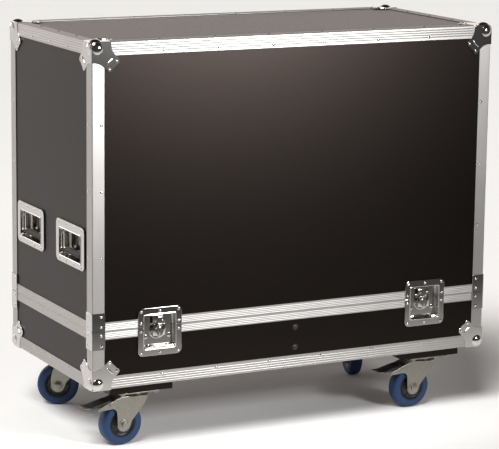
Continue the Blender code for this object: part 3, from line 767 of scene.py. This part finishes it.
def brace(sizes):
    """An L-shaped brace round a corner post, from Z = 0.5 mm up, in the same octant."""
    out, inn, leg = -0.0018, -0.0003, sizes.leg + 0.001
    bm = section_bar([(out, out), (leg, out), (leg, inn), (inn, inn), (inn, leg), (out, leg)], 0.0415)
    post = [
        e for e in bm.edges
        if all(abs(v.co.y - out) < HAIR and abs(v.co.z - out) < HAIR for v in e.verts)
    ]
    bevelled(bm, post, 0.0030, 4)
    bevelled(bm, sharp_edges(bm, 60), 0.0004, 1)
    moved(bm, basis((0, 0, 1), (1, 0, 0), (0, 1, 0), (0, 0, 0.0005)))
    unit = Piece("brace").add(bm)
    for z in (0.010, 0.0335):
        unit.add_mesh(rivet_mesh(), facing((0.0215, out, z), (0, -1, 0)))
        unit.add_mesh(rivet_mesh(), facing((out, 0.0215, z), (-1, 0, 0)))
    return unit.as_mesh()


def corners(half, z, up, sizes):
    """The four ball corners of the base or the hood, and its four braces beside the split."""
    balls, braces = Piece(f"{half}_ball_corners"), Piece(f"{half}_corner_braces")
    unit, clip = ball_corner(sizes), brace(sizes)
    for side, end in CORNERS:
        x, y = side * HALF_W, end * HALF_D
        balls.add_mesh(unit, basis((-side, 0, 0), (0, -end, 0), (0, 0, up), (x, y, z)))
        braces.add_mesh(clip, basis((-side, 0, 0), (0, -end, 0), (0, 0, -up), (x, y, SPLIT)))
    balls.finish(half, "bright_steel", bright_steel())
    braces.finish(half, "bright_steel", bright_steel())


def edging_rivets(half, z, up, sizes):
    """Rows of rivets along the edging."""
    piece = Piece(f"{half}_edging_rivets")
    inset, head = sizes.rivet_in, rivet_mesh()
    wide = [(k - 2.5) * sizes.rivet_pitch for k in range(6)]
    deep = (-0.1035, 0.0, 0.1035)
    for sign in (-1, 1):
        for x in wide:
            piece.add_mesh(head, facing((x, sign * HALF_D, z + up * inset), (0, sign, 0)))
            piece.add_mesh(head, facing((x, sign * (HALF_D - inset), z), (0, 0, -up)))
        for y in deep:
            piece.add_mesh(head, facing((sign * HALF_W, y, z + up * inset), (sign, 0, 0)))
            piece.add_mesh(head, facing((sign * (HALF_W - inset), y, z), (0, 0, -up)))
    if half == "hood":
        for side, end in CORNERS:
            for height in (0.300, 0.4485, 0.597):
                x, y = side * (HALF_W - inset), end * (HALF_D - inset)
                piece.add_mesh(head, facing((x, end * HALF_D, LOW + height), (0, end, 0)))
                piece.add_mesh(head, facing((side * HALF_W, y, LOW + height), (side, 0, 0)))
    piece.finish(half, "bright_steel", bright_steel())


# --- latches and handles ----------------------------------------------------------------------


def tray(half_x, low, high, deep, wall, fillet, open_side):
    """A pressed pocket with rounded inside corners, open at the face and at one side if asked."""
    bm = block((-half_x, -0.0014, low), (half_x, deep, high), 0)
    bm.normal_update()
    gone = [f for f in bm.faces if f.normal.y < -0.5 or (open_side and f.normal.z * open_side > 0.5)]
    bmesh.ops.delete(bm, geom=gone, context="FACES")
    bevelled(bm, [e for e in bm.edges if len(e.link_faces) == 2], fillet, 4)
    bmesh.ops.recalc_face_normals(bm, faces=bm.faces)
    if sum(f.normal.y for f in bm.faces if abs(f.normal.y) > 0.9) < 0:
        bmesh.ops.reverse_faces(bm, faces=bm.faces)
    bmesh.ops.solidify(bm, geom=bm.faces[:], thickness=wall)
    return bm


def outward(spot):
    """The matrix that lays the Z axis of a shape along -Y, from a spot."""
    return basis((1, 0, 0), (0, 0, 1), (0, -1, 0), spot)


def inward(spot):
    """The matrix that lays the Z axis of a shape along +Y, from a spot."""
    return basis((1, 0, 0), (0, 0, -1), (0, 1, 0), spot)


def sideways(spot):
    """The matrix that lays the Z axis of a shape along -X, from a spot."""
    return basis((0, 0, 1), (0, 1, 0), (-1, 0, 0), spot)


def rivets(piece, head, at, depth, spots):
    """Adds rivet heads that look out along -Y, at a depth and at X and Z spots in millimetres."""
    for x, z in spots:
        piece.add_mesh(head, at @ facing(mm(x, depth, z), (0, -1, 0)))


def stand(bm):
    """Takes a shape drawn in XY with its thickness in Z to local X and Z, thickness inward in Y."""
    return moved(bm, basis((1, 0, 0), (0, 0, 1), (0, 1, 0)))


def dish_flange(half_x, low, high, radii, pocket, corner):
    """The face plate of a dish, with the mouth of the pocket cut out and its edges rolled."""
    plate = prism(rounded(half_x, low, high, *radii), -0.0015, -0.0003, 0.0005, 2)
    mouth = prism(rounded(*pocket, *corner), -0.01, 0.01, 0)
    return stand(carved(plate, mouth))


def rolled_lip(half_x, mouth, far, radius):
    """A half-round bead round three sides of a pocket, from its open mouth to its far side and back."""
    path = ((-half_x, mouth), (-half_x, far), (half_x, far), (half_x, mouth))
    return bent_rod([(x, -0.0013, z) for x, z in path], radius, 0.004, 10)


def latch(place, sizes):
    """A recessed butterfly latch: two dishes, a spindle with its oval wing, and a hook."""
    spot = centre(f"latch_lower_dish_{place}")
    front = place.startswith("front")
    turn = 0.0 if front else pi
    at = Matrix.Translation((spot.x, -HALF_D if front else HALF_D, SPLIT)) @ Matrix.Rotation(turn, 4, "Z")
    steel, bright = bright_steel(), "bright_steel"
    wide, pocket, deep = 0.054, 0.040, 0.015
    head, small = rivet_mesh(0.0036, 0.0016), rivet_mesh(0.0024, 0.0010)

    top = 0.028
    upper = Piece(f"latch_upper_{place}")
    upper.add(dish_flange(wide, 0.0003, 0.0425, (0, 0.012), (pocket, -0.01, top), (0, 0.005)), at)
    upper.add(tray(pocket, 0.0003, top, deep, PRESSED, 0.0045, -1), at)
    upper.add(rolled_lip(pocket, 0.0008, top, sizes.bead), at)
    upper.add(block(mm(-18, 10.4, 2.0), mm(18, 15.2, 6.6), 0.0007), at)
    rivets(upper, head, at, -1.5, ((-46, 35.4), (0, 35.4), (46, 35.4), (-47, 9), (47, 9)))
    rivets(upper, small, at, 10.5, ((-12, 4.3), (12, 4.3)))
    upper.finish("hood", bright, steel, (f"latch_upper_dish_{place}",))

    bottom = -0.052
    lower = Piece(f"latch_lower_{place}")
    lower.add(dish_flange(wide, -0.0675, -0.0003, (0.012, 0), (pocket, bottom, 0.01), (0.005, 0)), at)
    lower.add(tray(pocket, bottom, -0.0003, deep, PRESSED, 0.0045, 1), at)
    lower.add(rolled_lip(pocket, -0.0008, bottom, sizes.bead), at)
    ring = turned_mm([(22.5, 0.0), (21.5, 1.6), (19.5, 2.2), (17.5, 1.6), (16.5, 0.0)], 36)
    cut_ring = moved(ring, Matrix.Translation(mm(0, AXIS_Z, 0)))
    bmesh.ops.bisect_plane(cut_ring, geom=cut_ring.verts[:] + cut_ring.edges[:] + cut_ring.faces[:],
                           plane_co=(0, -0.001, 0), plane_no=(0, 1, 0), clear_outer=True)
    lower.add(cut_ring, at @ outward((0, 0.0152, 0)))
    lower.add(drum(0.0095, 0.0, 0.0014, 28), at @ outward(mm(0, 15.1, AXIS_Z)))
    lower.add(block(mm(-30, 11.5, -49.5), mm(30, 15.2, -44.5), 0.0012, 3), at)
    for x in (-29, 29):
        lower.add(drum(0.0050, 0.0, 0.0022, 20, 0.0012), at @ outward(mm(x, 15.1, -27)))
    rivets(lower, head, at, -1.5, ((-46, -60.4), (0, -60.4), (46, -60.4), (-47, -10), (47, -10)))
    rivets(lower, small, at, 11.6, ((-22, -47), (22, -47)))
    lower.finish("base", bright, steel, (f"latch_lower_dish_{place}",))

    pin = Piece(f"latch_spindle_{place}")
    profile = [(0, 2.6), (14.4, 2.6), (15, 2.9), (15, 3.3), (14.4, 3.6), (6.4, 3.6), (6, 4.0), (6, 11.5),
               (8.1, 11.5), (8.5, 11.9), (8.5, 12.7), (8.1, 13.0), (0, 13.0)]
    pin.add(turned_mm(profile, 36), at @ inward(mm(0, 0, AXIS_Z)))
    for side in (-1, 1):
        low, high = sorted((side * 3.2, side * 5.8))
        pin.add(block(mm(low, 0.2, -1.0), mm(high, 3.0, 3.5), 0.0005), at)
    hinge = at @ sideways(mm(0, 1.2, 1.5))
    pin.add(drum(0.0008, -0.0057, 0.0057, 12, 0.0002), hinge)
    pin.finish(f"spindle_{place}", bright, steel, (f"latch_spindle_{place}",))

    oval = []
    for k in range(36):
        a = 2 * pi * k / 36
        oval.append((0.0108 * sin(a), AXIS_Z / 1000 + (0.0080 if cos(a) > 0 else 0.0155) * cos(a)))
    leaf = Piece(f"latch_wing_{place}")
    leaf.add(stand(prism(oval, 0.0006, 0.0021, 0.0006)), at)
    raised = [(x * 0.98, -0.0125 + (z + 0.0125) * 0.985) for x, z in oval]
    hollow = [(x * 0.72, -0.0140 + (z + 0.0140) * 0.76) for x, z in oval]
    leaf.add(carved(stand(prism(raised, 0.0001, 0.0014)), stand(prism(hollow, -0.005, 0.0009, 0))), at)
    leaf.add(block(mm(-1.1, 0.2, -24.0), mm(1.1, 1.5, -5.0), 0.0004), at)
    leaf.add(block(mm(-2.8, 0.4, -6.5), mm(2.8, 2.0, 0.9), 0.0004), at)
    leaf.add(drum(0.0012, -0.0028, 0.0028, 14, 0.0002), hinge)
    leaf.finish(f"wing_{place}", bright, steel, (f"latch_wing_{place}",))

    low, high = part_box(f"latch_hook_{place}")
    y, z = min(HALF_D - abs(low.y), HALF_D - abs(high.y)) * 1000, (high.z - SPLIT) * 1000
    claw = Piece(f"latch_hook_{place}")
    claw.add(block(mm(-15, y, z - 14.0), mm(15, y + 2.0, z), 0.0006), at)
    claw.add(block(mm(-15, y, z - 2.3), mm(15, y + 5.6, z), 0.0007), at)
    for side in (-1, 1):
        a, b = sorted((side * 8.8, side * 15))
        claw.add(block(mm(a, y, z - 43), mm(b, y + 2.0, z - 13), 0.0006), at)
        claw.add(block(mm(a + 1.6, y - 0.25, z - 40), mm(b - 1.6, y + 0.6, z - 16), 0.0006), at)
    rivets(claw, small, at, y, ((-9, z - 8), (9, z - 8)))
    claw.finish(f"hook_{place}", bright, steel, (f"latch_hook_{place}",))


def handle(place, sizes):
    """A recessed handle: a dish with a deep cup, and a sprung bail with a ribbed grip."""
    spot = centre(f"handle_dish_{place}")
    left = place.startswith("left")
    at = Matrix.Translation((-HALF_W if left else HALF_W, spot.y, spot.z)) @ Matrix.Rotation(
        -pi / 2 if left else pi / 2, 4, "Z")
    steel = bright_steel()
    dish = Piece(f"handle_dish_{place}")
    cup = (0.063, -0.035, 0.029)
    dish.add(dish_flange(0.081, -0.049, 0.049, (0.013, 0.013), cup, (0.006, 0.006)), at)
    dish.add(tray(*cup, 0.026, PRESSED, 0.0070, 0), at)
    x, low, high = 0.0632, -0.0352, 0.0292
    ends = (((-x, low), (-x, high)), ((x, low), (x, high)), ((-x, low), (x, low)), ((-x, high), (x, high)))
    for pair in ends:
        dish.add(bent_rod([(a, -0.0012, b) for a, b in pair], sizes.bead * 1.15, 0.004, 10), at)
    spots = [(x, z) for x in (-64, -22, 22, 64) for z in (41.5, -43.5)]
    rivets(dish, rivet_mesh(0.0036, 0.0016), at, -1.5, spots)
    for side in (-1, 1):
        lug = block(mm(57.5, 3.5, 13.5), mm(62.8, 15.5, 27.5), 0.0012, 3)
        hole = moved(drum(0.0045, 0.04, 0.08), basis((0, 0, 1), (0, 1, 0), (1, 0, 0), mm(0, 9.5, 21)))
        dish.add(moved(carved(lug, hole), Matrix.Diagonal((side, 1, 1, 1))), at)
    for x in (-40, 0, 40):
        dish.add(block(mm(x - 8, 24.9, -24), mm(x + 8, 26.2, 12), 0.0010, 3), at)
    dish.finish("hood", "bright_steel", steel, (f"handle_dish_{place}",))

    bar = Piece(f"handle_bar_{place}")
    pin, grip, arm, reach = 21.0, -21.0, 53.5, 63.9
    bar.add(bent_rod([mm(-reach, 9.5, pin), mm(-arm, 9.5, pin), mm(-arm, 9.5, grip), mm(arm, 9.5, grip),
                      mm(arm, 9.5, pin), mm(reach, 9.5, pin)], 0.0040, 0.0055), at)
    for side in (-1, 1):
        coil = [(6.3 if k % 2 else 5.0, 0.35 + k * 0.35) for k in range(6)]
        spring = turned_mm([(5.2, 0)] + coil + [(5.2, 2.5), (4.2, 2.5), (4.2, 0)], 20, closed=True)
        place_spring = basis((0, 0, 1), (0, 1, 0), (side, 0, 0), (side * 0.0545, 0.0095, 0.021))
        bar.add(moved(spring, place_spring), at)
    bar.finish(f"bail_{place}", "bright_steel", steel)

    sleeve = Piece(f"handle_grip_{place}")
    half, r = 44.0, sizes.grip * 1000
    profile = [(0, -half), (r - 1.6, -half), (r - 0.4, -half + 1.0)]
    pitch = (2 * half - 6) / max(sizes.grip_ribs, 1)
    for k in range(sizes.grip_ribs):
        x = -half + 3 + k * pitch
        profile += [(r, x), (r, x + pitch * 0.62), (r - 0.7, x + pitch * 0.75), (r - 0.7, x + pitch * 0.90)]
    profile += [(r, half - 3), (r - 0.4, half - 1.0), (r - 1.6, half), (0, half)]
    sleeve.add(moved(turned_mm(profile, 24), sideways(mm(0, 9.5, grip))), at)
    sleeve.finish(f"bail_{place}", "dark_grip", grip_rubber(), (f"handle_bail_{place}",))


# --- castors ----------------------------------------------------------------------------------


def hex_bolt(radius=0.0065, high=0.0045):
    """A hexagon bolt head on a washer, standing on Z = 0."""
    bm = bmesh.new()
    bmesh.ops.create_cone(bm, cap_ends=True, segments=6, radius1=radius, radius2=radius, depth=high,
                          matrix=Matrix.Translation((0, 0, 0.0010 + high / 2)))
    bevelled(bm, sharp_edges(bm), 0.0006, 2)
    return Piece("hex_bolt").add(bm).add(drum(radius * 1.35, -0.0003, 0.0012, 24, 0.0003)).as_mesh()


def fork_outline(braked, top):
    """Side of a fork, along the trail (X) and up (Y), with its nose round the axle."""
    low = arc(AXLE, 0.0165, range(-165, -14, 15))
    if braked:
        rear = [(0.0528, 0.0700), (0.0540, 0.0820), (0.0575, 0.0872), (0.0640, 0.0898), (0.0860, 0.0885),
                (0.1000, 0.0880), (0.1030, 0.0905), (0.1015, 0.0935), (0.0860, 0.0995), (0.0720, 0.1050),
                (0.0560, 0.1105), (0.0400, top - 0.0012)]
    else:
        rear = [(0.0528, 0.0640), (0.0515, 0.0760), (0.0480, 0.0880), (0.0430, 0.0980), (0.0370, 0.1070),
                (0.0320, top - 0.0012)]
    front = [(-0.0235, top - 0.0012), (-0.0248, 0.1100), (-0.0225, 0.1040), (-0.0140, 0.0910),
             (-0.0030, 0.0780), (0.0080, 0.0660), (0.0165, 0.0560)]
    return low + rear + front


def both_sides(profile, half, steps):
    """A ring turned from radius and inset pairs, in millimetres, the same on both sides of its middle."""
    near = [(radius, -half + inset) for radius, inset in profile]
    return turned_mm(near + [(radius, -height) for radius, height in reversed(near)], steps, closed=True)


def castor(place, sizes):
    """A swivel castor: plate and race, fork, and a wheel with an elastic tyre."""
    pivot, axle = centre(f"castor_plate_{place}"), centre(f"castor_wheel_{place}")
    heading = atan2(axle.y - pivot.y, axle.x - pivot.x)
    at = Matrix.Translation((pivot.x, pivot.y, 0)) @ Matrix.Rotation(heading, 4, "Z")
    square = Matrix.Translation((pivot.x, pivot.y, 0))
    low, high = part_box(f"castor_plate_{place}")
    race, plate_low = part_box(f"castor_fork_{place}")[1].z, high.z - 0.003
    braked = place in ("fl", "fr")
    steel = zinc()

    top = Piece(f"castor_plate_{place}")
    half_x, half_y = (high.x - low.x) / 2, (high.y - low.y) / 2
    top.add(prism(rounded(half_x, -half_y, half_y, 0.008, 0.008), plate_low, high.z, 0.0006), square)
    top.add(turned([(0, plate_low + 0.001), (0.0290, plate_low + 0.001), (0.0285, plate_low - 0.0015),
                    (0.0262, plate_low - 0.0030), (0.0255, race + 0.0004), (0, race + 0.0004)], 40), square)
    top.add(drum(0.0060, race - 0.0075, race + 0.003, 20), square)
    for x, y in ((a * (half_x - 0.012), b * (half_y - 0.0105)) for a, b in CORNERS):
        top.add_mesh(hex_bolt(0.0062, 0.0040), square @ facing((x, y, plate_low), (0, 0, -1)))
    top.finish("base", "zinc_castor", steel, (f"castor_plate_{place}",))

    fork = Piece(f"castor_fork_{place}")
    inner, wall = 0.0195, 0.0030
    for side in (-1, 1):
        sheet = prism(fork_outline(braked, race), -wall / 2, wall / 2, 0.0007)
        fork.add(stand(sheet), at @ Matrix.Translation((0, side * (inner + wall / 2), 0)))
        reach = side * (inner + wall)
        out = at @ facing((AXLE[0], reach, AXLE[1]), (0, side, 0))
        fork.add(drum(0.0125, -0.0004, 0.0009, 32, 0.0004), out)
        fork.add_mesh(hex_bolt(0.0078, 0.0048), out)
        if braked:
            fork.add(drum(0.0052, -0.0004, 0.0014, 24), at @ facing((0.0680, reach, 0.1000), (0, side, 0)))
    ring = [(0.0062, 0), (0.0300, 0), (0.0322, 0.0006), (0.0330, 0.0018), (0.0328, 0.0042), (0.0314, 0.0048),
            (0.0062, 0.0036)]
    fork.add(turned([(radius, race - drop) for radius, drop in ring], 48, closed=True), at)
    lying = at @ inward((AXLE[0], 0, AXLE[1]))
    fork.add(drum(0.0050, -0.0262, 0.0262, 20), lying)
    if braked:
        fork.add(block((0.0520, -0.0200, 0.1003), (0.0600, 0.0200, 0.1036), 0.0006), at)
    fork.finish(f"fork_{place}", "zinc_castor", steel, (f"castor_fork_{place}",))

    r, half = sizes.wheel * 1000, sizes.tread * 500
    inner_r = r - sizes.tyre * 1000
    tread = [(inner_r - 0.5, 1.5), (inner_r + 0.6, 0.3), (inner_r + 2.5, 0), (r - 6.4, 0.3), (r - 3.0, 1.9),
             (r - 1.1, 4.4), (r - 0.25, 8.0), (r, 12.5)]
    Piece(f"castor_tyre_{place}").add(both_sides(tread, half, 64), lying).finish(
        f"wheel_{place}", "blue_tyre", tyre_blue(), (f"castor_wheel_{place}",))
    hub = [(5.3, -1.8), (11.5, -1.8), (13.0, -0.6), (13.6, 3.0), (20, 5.0), (25, 4.8), (28.5, 2.6),
           (30.0, 0.8), (inner_r - 0.6, 0.5), (inner_r, 1.6)]
    rim_piece = Piece(f"castor_rim_{place}").add(both_sides(hub, half, 48), lying)
    for k in range(6):
        spoke = Matrix.Rotation(pi / 3 * k, 4, "Z")
        for side in (-1, 1):
            low_z, high_z = sorted((side * (half - 5.5), side * (half - 2.2)))
            web = block(mm(13, -1.2, low_z), mm(29, 1.2, high_z), 0.0005, 1)
            rim_piece.add(moved(web, spoke), lying)
    rim_piece.finish(f"wheel_{place}", "blue_tyre", black_plastic())

    if braked:
        pedal(place, at)


def pedal(place, at):
    """Foot pedal of a braked castor: a ribbed black shoe with a bright lip."""
    side_view = [(0.0655, 0.1065), (0.0700, 0.1085), (0.0860, 0.1050), (0.1000, 0.1015), (0.1120, 0.0985),
                 (0.1225, 0.0976), (0.1225, 0.0958), (0.1120, 0.0950), (0.0900, 0.0962), (0.0655, 0.1000)]
    shoe = Piece(f"brake_pedal_{place}")
    shoe.add(stand(prism(side_view, -0.0185, 0.0185, 0.0008)), at)
    for k in range(5):
        x = 0.0850 + 0.0065 * k
        z = 0.1054 - (x - 0.0850) * 0.245
        shoe.add(block((x - 0.0011, -0.0150, z - 0.0012), (x + 0.0011, 0.0150, z + 0.0006), 0.0004), at)
    shoe.finish(f"pedal_{place}", "black_pedal", black_plastic(), (f"brake_pedal_{place}",))
    lip = Piece(f"brake_lip_{place}")
    lip.add(block((0.1175, -0.0188, 0.0961), (0.1300, 0.0188, 0.0974), 0.0005), at)
    lip.finish(f"pedal_{place}", "zinc_castor", zinc())


# --- panels and lining ------------------------------------------------------------------------


def softened(node, name, width, segments=2, dissolve=2.0):
    """A copy of a node's mesh with its edges rounded."""
    bm = bmesh.new()
    bm.from_mesh(bpy.data.objects[node].data)
    bmesh.ops.remove_doubles(bm, verts=bm.verts, dist=WELD)
    bmesh.ops.dissolve_limit(bm, angle_limit=radians(dissolve), verts=bm.verts, edges=bm.edges)
    bevelled(bm, sharp_edges(bm, 40), width, segments)
    return Piece(name).add(bm)


def divider_bolts():
    """Domed bolts through the front and back that hold the divider."""
    piece = Piece("divider_bolts")
    profile = [(0, 3.4), (2.2, 3.2), (4.2, 2.5), (5.4, 1.2), (5.6, 0.6), (7.4, 0.5), (7.6, 0.0), (0, -0.2)]
    for sign in (-1, 1):
        for height in (0.0487, 0.0966):
            spot = (0, sign * (HALF_D - SKIN), LOW + height)
            piece.add(turned_mm(profile, 24), facing(spot, (0, sign, 0)))
    return piece


class CASE_OT_panels(bpy.types.Operator):
    """Finish the laminated panels and fit the divider's bolts"""

    bl_idname = "case.panels"
    bl_label = "Panels"

    def execute(self, context):
        for node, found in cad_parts.items():
            if node.endswith("_panel"):
                found.data.materials.clear()
                found.data.materials.append(laminate())
        divider_bolts().finish("base", "bright_steel", black_plastic())
        return {"FINISHED"}


class CASE_OT_edging(bpy.types.Operator):
    """Make the ribbed angles, the two-part rim and their rivets"""

    bl_idname = "case.edging"
    bl_label = "Edging"

    def execute(self, context):
        sizes = context.scene.case_edging
        for half, z, up, section in (("base", LOW, 1, RIM_BASE), ("hood", TOP, -1, RIM_HOOD)):
            edging_bars(half, z, up, sizes)
            rim(half, section, sizes)
            edging_rivets(half, z, up, sizes)
        return {"FINISHED"}


class CASE_OT_corners(bpy.types.Operator):
    """Make the ball corners and the braces beside the split"""

    bl_idname = "case.corners"
    bl_label = "Corners"

    def execute(self, context):
        for half, z, up in (("base", LOW, 1), ("hood", TOP, -1)):
            corners(half, z, up, context.scene.case_edging)
        return {"FINISHED"}


class CASE_OT_latches(bpy.types.Operator):
    """Make the four recessed butterfly latches"""

    bl_idname = "case.latches"
    bl_label = "Latches"

    def execute(self, context):
        for place in PLACES:
            latch(place, context.scene.case_hardware)
        return {"FINISHED"}


class CASE_OT_handles(bpy.types.Operator):
    """Make the four recessed handles"""

    bl_idname = "case.handles"
    bl_label = "Handles"

    def execute(self, context):
        for place in ENDS:
            handle(place, context.scene.case_hardware)
        return {"FINISHED"}


class CASE_OT_castors(bpy.types.Operator):
    """Make the four swivel castors, two of them with brakes"""

    bl_idname = "case.castors"
    bl_label = "Castors"

    def execute(self, context):
        for place in WHEELS:
            castor(place, context.scene.case_castors)
        return {"FINISHED"}


class CASE_OT_lining(bpy.types.Operator):
    """Line the hood and the tray with foam, and finish the divider board"""

    bl_idname = "case.lining"
    bl_label = "Lining"

    def execute(self, context):
        for half in ("base", "hood"):
            lining = softened(f"{half}_foam", f"{half}_lining", 0.0016, 3)
            made = lining.finish(half, "foam_lining", foam(), (f"{half}_foam",))
        board = softened("divider_board", "divider", 0.0012, 2)
        board.finish("base", "divider_plywood", plywood(), ("divider_board",))
        return {"FINISHED"}


class CASE_OT_stage(bpy.types.Operator):
    """Set out the floor, the light and the camera"""

    bl_idname = "case.stage"
    bl_label = "Stage"

    def execute(self, context):
        looks = context.scene.case_stage
        bm = bmesh.new()
        bmesh.ops.create_grid(bm, x_segments=4, y_segments=4, size=60.0)
        mesh = bpy.data.meshes.new("floor")
        bm.to_mesh(mesh)
        bm.free()
        f = Finish("floor", roughness=0.85, specular_ior_level=0.1)
        # Painted shade: the floor is painted a little darker far behind the case, fading in from 1 m to 7 m
        # back.
        floor_with_painted_far_shade = f.blend(f.along(1).above(1.0, 7.0), looks.floor, shaded(looks.floor, 0.92))
        # Painted shade: from 0.35 m in front of the case, towards the camera, the floor is painted nearly
        # black, so that the shiny faces reflect darkness there.
        f.set(base_color=f.blend(f.along(1).above(-1.5, -0.35), shaded(looks.floor, 0.05), floor_with_painted_far_shade))
        mesh.materials.append(f.material)
        floor = bpy.data.objects.new("floor", mesh)
        context.scene.collection.objects.link(floor)
        context.scene.view_settings.view_transform = "Standard"
        camera(context.scene, looks)
        lights(context.scene)
        return {"FINISHED"}


def camera(scene, looks):
    """The camera in front of the left end, a little above the case."""
    data = bpy.data.cameras.new("camera")
    data.sensor_width, data.lens = 36.0, looks.lens
    data.clip_end = 200.0
    yaw, pitch, roll = looks.heading, looks.dip, looks.roll
    ahead = Vector((sin(yaw) * cos(pitch), cos(yaw) * cos(pitch), -sin(pitch)))
    level = Vector((cos(yaw), -sin(yaw), 0))
    over = level.cross(ahead)
    right = level * cos(roll) + over * sin(roll)
    made = bpy.data.objects.new("camera", data)
    made.matrix_world = basis(right, over * cos(roll) - level * sin(roll), -ahead, CAMERA_SPOT)
    scene.collection.objects.link(made)
    scene.camera = made


def area_light(scene, name, spot, aim, size, power, spread):
    """A rectangular light at a spot, aimed at another, that the camera doesn't see."""
    data = bpy.data.lights.new(name, "AREA")
    data.shape, data.size, data.size_y = "RECTANGLE", size[0], size[1]
    data.energy, data.spread = power, radians(spread)
    made = bpy.data.objects.new(name, data)
    away = Vector(spot) - Vector(aim)
    made.matrix_world = Matrix.Translation(spot) @ away.to_track_quat("Z", "Y").to_matrix().to_4x4()
    made.visible_camera = False
    scene.collection.objects.link(made)


def lights(scene):
    """A broad soft sun, a reflector off to the right, a side box, and a room that is dark overhead."""
    world = bpy.data.worlds.new("room")
    world.use_nodes = True
    room = Room(world)
    height, depth = room.along(2), room.along(1)
    low = 1.0 - height.above(0.22, 0.75)
    behind = 0.03 + 0.97 * depth.above(-0.3, 0.4)
    room.set_strength(0.02 + 1.05 * low * behind)
    scene.world = world
    sun = bpy.data.lights.new("sun", "SUN")
    sun.energy, sun.angle, sun.color = 3.3, radians(28), (1.0, 0.99, 0.97)
    made = bpy.data.objects.new("sun", sun)
    made.matrix_world = Vector((-0.55, -0.40, 1.0)).to_track_quat("Z", "Y").to_matrix().to_4x4()
    scene.collection.objects.link(made)
    area_light(scene, "reflector", (0.76, -2.20, 1.22), (-0.20, -0.24, 0.85), (0.5, 0.5), 9.5, 60)
    area_light(scene, "side_box", (-1.5, 2.1, 1.35), (-0.5, 0, 0.75), (0.7, 0.7), 0.6, 60)


class Room(Finish):
    """The surroundings, whose brightness changes with direction."""

    def __init__(self, world):
        self.tree = world.node_tree
        self.shader = self.tree.nodes["Background"]
        self.shader.inputs["Color"].default_value = (1.0, 0.90, 0.85, 1.0)
        self.place = self.node("ShaderNodeTexCoord", {}, {}, "Generated")

    def set_strength(self, value):
        self.feed(self.shader.inputs["Strength"], value)


class CASE_PT_panel(bpy.types.Panel):
    """Lists the pieces of the case"""

    bl_idname = "CASE_PT_panel"
    bl_label = "Touring Case"
    bl_space_type = "VIEW_3D"
    bl_region_type = "UI"
    bl_category = "Case"

    def draw(self, context):
        for operator in OPERATORS:
            self.layout.operator(operator.bl_idname)
        for group in GROUPS:
            box = self.layout.box()
            settings = getattr(context.scene, group)
            for name in settings.bl_rna.properties.keys():
                if name not in ("rna_type", "name"):
                    box.prop(settings, name)


GROUPS = {
    "case_finishes": CaseFinishes,
    "case_edging": CaseEdging,
    "case_hardware": CaseHardware,
    "case_castors": CaseCastors,
    "case_stage": CaseStage,
}
OPERATORS = (
    CASE_OT_stage, CASE_OT_panels, CASE_OT_edging, CASE_OT_corners,
    CASE_OT_latches, CASE_OT_handles, CASE_OT_castors, CASE_OT_lining,
)


def register():
    for group in GROUPS.values():
        bpy.utils.register_class(group)
    for name, group in GROUPS.items():
        setattr(bpy.types.Scene, name, PointerProperty(type=group))
    for operator in OPERATORS:
        bpy.utils.register_class(operator)
    bpy.utils.register_class(CASE_PT_panel)


def unregister():
    bpy.utils.unregister_class(CASE_PT_panel)
    for operator in reversed(OPERATORS):
        bpy.utils.unregister_class(operator)
    for name in GROUPS:
        delattr(bpy.types.Scene, name)
    for group in reversed(GROUPS.values()):
        bpy.utils.unregister_class(group)


def main():
    register()
    for step in ("stage", "panels", "edging", "corners", "latches", "handles", "castors", "lining"):
        getattr(bpy.ops.case, step)()


if __name__ == "__main__":
    main()
